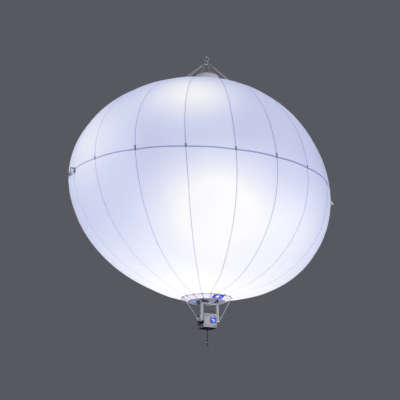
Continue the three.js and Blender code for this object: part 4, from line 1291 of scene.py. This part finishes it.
# Clamp with a lever on the front of a leg, drawn with the leg's middle at x 0
def makeLegClamp():
    front, height = yoke["y"] - yoke["legDeep"] / 2 - 0.0003, yoke["top"] - 0.034
    black, pivot = "mouldedBlack", yoke["top"] - 0.030
    body = addBlock("clampBody", (0, front - 0.006, height), (0.036, 0.012, 0.054), black, 0.003, 3)
    insetFaces(body, facing(-yWay), 0.005, -0.0012)
    lever = addPrism("clampLever", roundedOutline(0.0135, 0.062, 0.0062), 0.0085, black, 0.002, 3)
    moved(lever, shift(0, front - 0.0205, yoke["top"] - 0.050) @ spin(90, "X"))
    hub = addDrum("leverHub", (0, front - 0.010, pivot), (0, front - 0.0246, pivot), 0.0062, "blackSteel", 24,
                  None, 0.001)
    bolt = hexBolt((0.0115, front - 0.0105, height + 0.016), -yWay, 0.0045)
    return joined("leg_clamp", [body, lever, hub, bolt])


# Pivot plate outside the right leg, with its curved slot and the tightening knob
def makePivotPlate():
    x, pivot, paint = yoke["halfWidth"] + 0.0003, yoke["pivot"], "greyPowder"
    knobY, up, face = yoke["knobY"], yoke["knobUp"], x + yoke["plateThick"] - 0.0003
    knobZ = pivot + up
    wide, high, corner = yoke["plateSize"]
    plate = addPrism("pivotPlate", roundedOutline(wide, high, corner), yoke["plateThick"], paint, 0.0018, 2)
    moved(plate, axesAlong(yWay, zWay, xWay, (x + 0.007, -0.060, pivot - 0.008)))
    holes = [addPin("pivotBore", x - 0.01, x + 0.03, (0, pivot), yoke["pin"] + 0.0003, paint, 32)]
    reach, aim = math.hypot(knobY, up), math.degrees(math.atan2(up, knobY))
    count, start, step = yoke["arc"]
    for k in range(count):
        angle = math.radians(aim + start + step * k)
        spot = (reach * math.cos(angle), pivot + reach * math.sin(angle))
        holes.append(addPin("arcSlot", x + 0.0085, x + 0.03, spot, 0.0062, paint, 18))
    parts = [cutWith(plate, *holes),
             addRing("pivotRim", (x + 0.0138, 0, pivot), xWay, 0.0135, 0.0022, "galvanised", 40, 10)]
    parts += [hexBolt((face, *spot), xWay, 0.0052, "blackSteel") for spot in yoke["plateBolts"]]
    parts.append(hexBolt((face, 0.036, -6.4180), xWay, 0.0048))
    knob = addPin("knobBody", face, face + 0.034, (knobY, knobZ), 0.0255, "mouldedBlack", 64, 0.0245,
                  0.003, 3)

    def lobed(p):
        y, z = p.y - knobY, p.z - knobZ
        grow = 1.0 + 0.055 * math.cos(8 * math.atan2(z, y)) * min(1.0, math.hypot(z, y) / 0.02)
        return Vector((p.x, knobY + y * grow, knobZ + z * grow))

    parts += [reshaped(knob, lobed), addPin("knobCap", face + 0.033, face + 0.0344, (knobY, knobZ), 0.011,
                                            "mouldedGrey", 32, None, 0.0005, 1)]
    return joined("pivot_plate", parts)


# Stay from the collar's lug to the shoe under the leg, with a turnbuckle
def makeStay(side):
    half, middleY, steel = yoke["halfWidth"], yoke["y"], "galvanised"
    top = Vector((side * collar["lugOut"], 0, yoke["stayTop"]))
    foot = Vector((side * (half + yoke["stayFootOut"]), middleY, yoke["stayFoot"]))
    rod = foot - top
    parts = [addDrum("stayRod", top, foot, yoke["stayRadius"], "slottedAlloy", 20),
             addDrum("stayEnd", top, top + rod.normalized() * 0.050, 0.0078, steel, 20,
                     yoke["stayRadius"], 0.001)]
    for start, end, radius, sides in yoke["turnbuckle"]:
        parts.append(addDrum("turnbuckle", top + rod * start, top + rod * end, radius, steel, sides, None,
                             0.0008, 1))
    shoeX, height = side * (half - 0.012), yoke["legFoot"] - 0.0063
    parts += [addBlock("stayShoe", (shoeX, middleY, height), (0.0478, 0.0458, 0.0118), steel, 0.0015),
              addBlock("stayToe", (side * (half + 0.020), middleY, height), (0.026, 0.020, 0.0118), steel,
                       0.0015),
              hexBolt((shoeX - side * 0.008, middleY + 0.010, height - 0.0059), -zWay, 0.0055, "blackSteel",
                      0.0036)]
    return joined("stay", parts)


def makeYokeFittings():
    out = yoke["halfWidth"] - yoke["legWide"] / 2
    patterns = [makeCornerBracket(), makeLegClamp(), makePivotPlate()]
    for name, side in (("left", -1), ("right", 1)):
        bracket = copied(patterns[0], f"corner_bracket_{name}", shift(0, yoke["y"], 0) @ spin(90 + 90 * side))
        finished(bracket, "root", "dark_steel", f"yoke_corner_{name}")
        clamp = copied(patterns[1], f"leg_clamp_{name}", shift(side * out, 0, 0))
        finished(clamp, "root", "black_plastic", f"yoke_clamp_{name}")
        # both plates reach back, so the left one is mirrored
        plate = copied(patterns[2], f"pivot_plate_tilt_{name}", Matrix.Diagonal((side, 1, 1, 1)))
        if side < 0:
            mergedDoubles(plate, 1e-7, True)
        finished(plate, "root", "grey_paint", f"pivot_plate_{name}")
        finished(named(makeStay(side), f"stay_rod_{name}"), "root", "steel", f"stay_{name}")
    for pattern in patterns:
        bpy.data.objects.remove(pattern)


makeYokeFrame()
makeYokeFittings()
print("stage 9: yoke")


# Control box, tilting between the legs on two pins. Its front, back and trim are drawn round y 0
box = {"halfWide": 0.163, "halfDeep": 0.172, "y": -0.033, "chamfer": 0.022, "top": -6.315, "foot": -6.620,
       "lidGap": -6.3590, "gapHeight": 0.0032, "pinReach": 0.2205, "bossReach": 0.2035,
       "display": (0.060, -6.457), "displaySize": (0.140, 0.118), "handle": 0.140, "handleTube": 0.010,
       "handleRise": 0.45, "handleSection": (0.0045, 0.0105), "handleY": -0.183,
       "connectorHeight": -6.497, "connectors": [-0.016, 0.034, 0.084], "vents": 7,
       "feet": (0.124, 0.135), "latches": (-0.106, 0.116), "hinges": (-0.09, 0.09),
       "sideScrews": (-6.338, -6.385, -6.600), "frontScrews": (-0.128, -0.090, 0.130),
       "button": (-0.008, -0.148),
       "gland": [(0, 0.008, 0.0150, 6), (0.008, 0.016, 0.0125, 24), (0.016, 0.029, 0.0145, 12)],
       "handleFeet": (-0.139, 0.139), "gripRibs": (9, 62, 7),
       "bars": [(-0.024, 0.028, 0.044), (-0.030, 0.016, 0.032), (0.010, -0.034, 0.054)]}


def chamferedOutline(inset):
    wide, deep = box["halfWide"] - inset, box["halfDeep"] - inset
    x, y = wide - box["chamfer"], deep - box["chamfer"]
    return [(wide, -y), (wide, y), (x, deep), (-x, deep), (-wide, y), (-wide, -y), (-x, -deep), (x, -deep)]


# The two painted halves with the seal between them; the side panels take a darker copy of the paint, which is
# painted shade
def boxHalves():
    foot, gap, lid = box["foot"], box["lidGap"], box["lidGap"] + box["gapHeight"]
    parts = []
    for name, inset, low, high, finish, edge in (
            ("boxBody", 0.0, foot, gap, "boxPaint", 0.004),
            ("boxSeal", 0.003, gap - 0.001, lid + 0.001, "mouldedBlack", 0.0),
            ("boxLid", 0.0, lid, box["top"], "boxPaint", 0.005)):
        part = addPrism(name, chamferedOutline(inset), high - low, finish, edge, 3)
        part.data.materials.append(finishes["sidePaintedShade"])
        for face in part.data.polygons:
            face.material_index = 1 if inset == 0 and abs(face.normal.x) > 0.98 else 0
        parts.append(moved(part, shift(0, 0, (low + high) / 2)))
    return parts


def boxTrim():
    wide, deep, chamfer = box["halfWide"], box["halfDeep"], box["chamfer"]
    foot, gap, steel, black = box["foot"], box["lidGap"], "galvanised", "blackSteel"
    # matt black underside with vents, a base plate whose blackness is partly painted shade under the box, and
    # rubber corners
    under = addPrism("boxUnder", chamferedOutline(0.001), 0.006, "mattBlack", 0.0015, 2)
    parts = [moved(under, shift(0, 0, foot - 0.0024))]
    footX, footY = box["feet"]
    for spot in ((x, y) for x in (-footX, footX) for y in (-footY, footY)):
        parts.append(addPost("boxFoot", spot, foot, foot - 0.012, 0.015, "mouldedBlack", 28, 0.012, 0.002))
    rows = [("boxVent", (0.062, -0.05 + 0.016 * k, foot - 0.0058), (0.090, 0.006, 0.0022), black, 0.0008, 1)
            for k in range(box["vents"])]
    # latches over the lid's gap, and hinges behind
    for x in box["latches"]:
        rows += [("latchBase", (x, -deep - 0.0015, gap - 0.012), (0.024, 0.004, 0.030), black, 0.0012),
                 ("latchHook", (x, -deep - 0.0040, gap + 0.004), (0.014, 0.004, 0.022), steel, 0.001)]
    for x in box["hinges"]:
        rows.append(("lidHinge", (x, deep + 0.0008, gap), (0.040, 0.0024, 0.034), black, 0.0008, 1))
        parts.append(addPin("hingeBarrel", x - 0.020, x + 0.020, (deep - 0.001, gap + 0.0016), 0.0032,
                            black, 16))
    # a latch on the front, and the dark strip beside the connectors
    rows += [("doorLatch", (0.102, -deep - 0.002, -6.590), (0.030, 0.006, 0.018), black, 0.002),
             ("sideStrip", (-wide, -0.082, box["connectorHeight"]), (0.0012, 0.142, 0.0795), "mattBlack",
              0.0004, 1)]
    parts += [addBlock(*row) for row in rows]
    # screws along the chamfers and the foot of the front, and a pale button on the lid
    for side in (1, -1):
        for z in box["sideScrews"]:
            spot = (side * (wide - chamfer / 2 + 0.0002), -deep + chamfer / 2 - 0.0002, z)
            parts.append(hexBolt(spot, (side, -1, 0), 0.0034, steel, 0.0016))
    parts += [hexBolt((x, -deep, box["sideScrews"][-1]), -yWay, 0.0040, black, 0.0022)
              for x in box["frontScrews"]]
    parts.append(addPost("lidButton", box["button"], box["top"] - 0.001, box["top"] + 0.008, 0.009,
                         "paleButton", 28, 0.006, 0.002))
    return parts


def makeBoxBody():
    wide, foot, spot = box["halfWide"], box["foot"], (0, yoke["pivot"])
    parts = [moved(part, shift(0, box["y"], 0)) for part in boxHalves() + boxTrim()]
    for start, end, *rest in ((-0.002, box["pinReach"], yoke["pin"], "galvanised", 32, None, 0.001),
                              (-0.001, wide + 0.010, 0.0218, "satinAlloy", 40, None, 0.0015),
                              (0.009, box["bossReach"], 0.0195, "satinAlloy", 40, 0.016, 0.002)):
        parts += [addPin("pivotPin", side * (wide + start), side * end, spot, *rest) for side in (-1, 1)]
    for start, end, radius, sides in box["gland"]:
        parts.append(addPost("gland", tail["at"], foot - start, foot - end, radius, "mouldedBlack", sides,
                             None, 0.001, 1))
    finished(joined("control_box_shell", parts), "control_unit", "grey_paint", "control_box")


def makeDisplay():
    x, z = box["display"]
    wide, high = box["displaySize"]
    bezel = addPrism("displayBezel", roundedOutline(wide, high, 0.008), 0.0085, "darkPanel", 0.0015, 2)
    insetFaces(moved(bezel, shift(0, 0, 0.00435)), facing(zWay), 0.006, -0.0012)
    parts = [bezel, litFace("boxDisplay", wide - 0.014, high - 0.014, 0.0076)]
    # plain bars on the screen
    for u, v, long in box["bars"]:
        parts.append(addBlock("screenBar", (u, v, 0.00862), (long, 0.0042, 0.0003), "screenBar"))
    stand = axesAlong(xWay, zWay, -yWay, (x, box["y"] - box["halfDeep"] - 0.0003, z))
    panel = moved(joined("control_display_panel", parts), stand)
    finished(panel, "control_unit", "blue_light", "control_display")


# The flat handle is a ring bent to a low arch with an oval section
def arched(point):
    radius, rise, tube = box["handle"], box["handleRise"], box["handleTube"]
    flat, broad = box["handleSection"]
    angle = math.atan2(point.z, point.x)
    away = (math.hypot(point.x, point.z) - radius) / tube * flat
    normal = Vector((rise * math.cos(angle), math.sin(angle))).normalized()
    return Vector((radius * math.cos(angle) + normal.x * away, box["handleY"] + point.y / tube * broad,
                   box["top"] + 0.0004 + rise * radius * math.sin(angle) + normal.y * away))


def makeHandle():
    radius, black = box["handle"], "mouldedBlack"
    grip = addRing("lid_handle", (0, 0, 0), yWay, radius, box["handleTube"], black, 96, 16)
    parts = [reshaped(cutAt(grip, 0.0, False, True), arched)]
    parts += [addBlock("handleFoot", (x, box["handleY"], box["top"] + 0.0045), (0.0215, 0.0215, 0.008),
                       black, 0.002) for x in box["handleFeet"]]
    count, start, step = box["gripRibs"]
    for k in range(count):
        angle = math.radians(start + step * k)
        rib = addRing("gripRib", (radius * math.cos(angle), 0, radius * math.sin(angle)),
                      (-math.sin(angle), 0, math.cos(angle)), 0.0098, 0.0014, black, 28, 6)
        parts.append(reshaped(rib, arched))
    finished(joined("lid_handle", parts), "control_unit", "black_plastic", "box_handle")


def makeConnectors():
    x, z = -box["halfWide"] - 0.0003, box["connectorHeight"]
    parts = [addBlock("plate", (x - 0.0013, 0.035, z), (0.0026, 0.1498, 0.0798), "mattBlack", 0.0008, 1)]
    for y in box["connectors"]:
        barrel = addPin("barrel", x - 0.003, x - 0.0278, (y, z), 0.0178, "mouldedBlack", 40, None, 0.001)
        insetFaces(barrel, facing(-xWay), 0.0028, 0.0)
        insetFaces(barrel, lambda middle, normal: normal.x < -0.9 and abs(middle.z - z) < 0.004, 0.0002,
                   -0.012)
        parts += [addBlock("flange", (x - 0.0035, y, z), (0.0028, 0.042, 0.042), "mouldedBlack", 0.0008, 1),
                  addPin("ring", x - 0.009, x - 0.021, (y, z), 0.0205, "mouldedGrey", 20, None, 0.0008, 1),
                  barrel]
        parts += [hexBolt((x - 0.0048, y + dy, z + dz), -xWay, 0.0018, "galvanised", 0.0010)
                  for dy in (-0.0165, 0.0165) for dz in (-0.0165, 0.0165)]
    finished(joined("connector_row", parts), "control_unit", "black_plastic", "connector_panel")


makeBoxBody()
makeDisplay()
makeHandle()
makeConnectors()
print("stage 10: control box")


# Side anchors on the belt, each with a pulley block that swings on its ring and a sheave in the block.
# They are drawn with y outwards and the ring's middle at z 0
anchor = {"ringOut": 0.110, "ring": 0.030, "ringWire": 0.005, "patch": (0.100, 0.120, 0.012),
          "patchThick": 0.0095, "strapWidth": 0.036, "strapHalf": 0.0065, "strapStart": 0.010,
          "eye": 0.014, "eyeWire": 0.004, "block": 0.045, "sheave": 0.0328, "sheavePin": 0.006,
          "pinBelow": 0.0857, "cheekOut": 0.0155, "cheek": 0.0048, "azimuths": [-90, 70, 170]}


def anchorPlace(number):
    ringCentre = Vector(joints[f"block_{number}_swing"]["pos_m"]) + zWay * anchor["ring"]
    turn = spin(anchor["azimuths"][number - 1] + 180)
    return Matrix.Translation(ringCentre - turn @ Vector((0, anchor["ringOut"], 0))) @ turn


def makeAnchor(number):
    out, webbing = anchor["ringOut"], "greyWebbing"
    plate = addPrism("patch", roundedOutline(*anchor["patch"]), anchor["patchThick"], "tabWebbing", 0.001, 2)
    band = addBlock("patchBand", (0, 0, 0), (0.104, 0.0018, 0.026), webbing, 0.0005, 1)
    parts = [moved(plate, axesAlong(xWay, zWay, -yWay, (0, 0.0118, -0.014)))]
    parts += copiesOf(band, [shift(0, 0.0172, -0.018) @ spin(turn, "Y") for turn in (38, -38)])

    # folded strap from the patch round the ring's top and back
    def folded(point):
        walk, across, half = (point.y + 0.5) * 2, point.x * anchor["strapWidth"], anchor["strapHalf"]
        if abs(walk - 1) < 0.08:
            angle = math.pi * (walk - 0.92) / 0.16
            return Vector((across, out + half * math.sin(angle), anchor["ring"] + half * math.cos(angle)))
        side = 1 if walk < 1 else -1
        along = min(walk, 2 - walk) / 0.92
        return Vector((across, anchor["strapStart"] + (out - anchor["strapStart"]) * along,
                       anchor["ring"] + side * half * min(1, along / 0.15)))

    parts.append(thickened(reshaped(addGrid("anchorStrap", 6, 40, webbing), folded), 0.0018, 0))
    parts += [addBlock("strapStitch", (0, y, anchor["ring"] + 0.0078), (0.031, 0.0015, 0.0008), "tabWebbing")
              for y in (0.030, 0.040, 0.075, 0.085)]
    parts.append(addRing("ring", (0, out, 0), yWay, anchor["ring"], anchor["ringWire"], "galvanised", 64, 14))
    if number == 1:
        # a loose end of webbing hangs over this patch
        loose = reshaped(addGrid("looseEnd", 6, 24, webbing), lambda p: Vector((
            p.x * 0.046 + 0.004 * math.sin(5 * p.y), 0.0200 + 0.004 * math.sin(7 * p.y) + 0.012 * (0.5 - p.y),
            -0.060 + p.y * 0.115)))
        parts.append(thickened(loose, 0.002))
    piece = moved(joined(f"anchor_strap_{number}", parts), anchorPlace(number))
    finished(piece, "root", "webbing", f"side_anchor_{number}")


def makePulley(number):
    out, wire, eye = anchor["ringOut"], anchor["eyeWire"], anchor["eye"]
    steel, alloy, black = "galvanised", "satinAlloy", "mouldedBlack"
    eyeZ = -anchor["ring"] + anchor["ringWire"] + 0.0003 + wire - eye
    neck = eyeZ - eye + 0.002
    head, pin = neck - 0.016, -anchor["ring"] - anchor["pinBelow"]
    parts = [addRing("blockEye", (0, out, eyeZ), xWay, eye, wire, steel, 40, 12),
             addPost("blockSwivel", (0, out), neck, head, 0.0098, steel, 24, None, 0.0012),
             addBlock("blockHead", (0, out, head), (0.0358, 0.0338, 0.0118), alloy, 0.002)]
    circle = [towards(90 + 7.5 * k, anchor["block"]).xy for k in range(48)]
    for x in (-anchor["cheekOut"], anchor["cheekOut"]):
        cheek = addPrism("blockCheek", circle, anchor["cheek"], alloy, 0.0012, 2)
        moved(cheek, axesAlong(yWay, zWay, xWay, (x, out, pin)))
        spots = [towards(90 + 36 * k - 144, 0.030) for k in range(5)]
        cutWith(cheek, *[addPin("cheekHole", x - 0.01, x + 0.01, (out + spot.x, pin + spot.y), 0.0062,
                                alloy, 24) for spot in spots])
        parts += [cheek, addBlock("blockStrap", (x, out, (head + pin) / 2), (0.0050, 0.0335, head - pin),
                                  alloy, 0.001)]
    spot, radius = (out, pin), anchor["sheavePin"]
    parts.append(addPin("blockPin", -0.018, 0.018, spot, radius, steel, 28, None, 0.0008))
    piece = moved(joined(f"pulley_block_cheeks_{number}", parts), anchorPlace(number))
    finished(piece, f"block_{number}", "alloy", f"pulley_block_{number}")
    # sheave: a drum with a round groove and a dished hub
    wheel = addPin(f"sheave_wheel_{number}", -0.008, 0.008, spot, anchor["sheave"], black, 72, None, 0.001)
    cutWith(wheel, addRing("groove", (0, *spot), xWay, anchor["sheave"] + 0.0012, 0.0068, black, 72, 16),
            addPin("sheaveBore", -0.02, 0.02, spot, radius + 0.0003, black, 28))
    insetFaces(wheel, lambda middle, normal: abs(normal.x) > 0.9 and abs(middle.x) > 0.0079, 0.006, -0.0015)
    moved(wheel, anchorPlace(number))
    finished(wheel, f"sheave_{number}", "black_plastic", f"pulley_sheave_{number}")


for number in (1, 2, 3):
    makeAnchor(number)
    makePulley(number)
print("stage 11: side anchors")


# CAD nodes that stay as they are get a finish of their own
for name, finish in (("centre_mast", "turnedAlloy"), ("lamp_block", "greyPowder")):
    materials = frame["nodes"][name].data.materials
    materials.clear()
    materials.append(finishes[finish])


# Studio: each lamp has its place, size and watts
studio = {"floorSize": 60.0, "world": (0.095, 0.100, 0.115), "aim": (0, 0, -4.6),
          "lamps": [("keyLight", (11.0, -18.0, -1.0), 10.0, 1480),
                    ("fillLight", (-14.0, -10.0, -3.0), 8.0, 450),
                    ("rimLight", (5.0, 18.0, 0.0), 9.0, 900)]}


def makeStudio():
    deselectAll()
    bpy.ops.mesh.primitive_plane_add(size=studio["floorSize"], location=(0, 0, floorHeight))
    lastMade("studio_floor", "studioFloor")
    scene.world = bpy.data.worlds.new("studioWorld")
    scene.world.use_nodes = True
    background = scene.world.node_tree.nodes["Background"]
    background.inputs["Color"].default_value = (*studio["world"], 1)
    background.inputs["Strength"].default_value = 1.0
    for name, where, size, power in studio["lamps"]:
        data = bpy.data.lights.new(name, "AREA")
        data.size, data.energy = size, power
        lamp = bpy.data.objects.new(name, data)
        scene.collection.objects.link(lamp)
        lamp.location = where
        lamp.rotation_euler = (Vector(studio["aim"]) - Vector(where)).to_track_quat("-Z", "Y").to_euler()
    scene.view_settings.view_transform = "Standard"


makeStudio()
print("stage 12: studio")
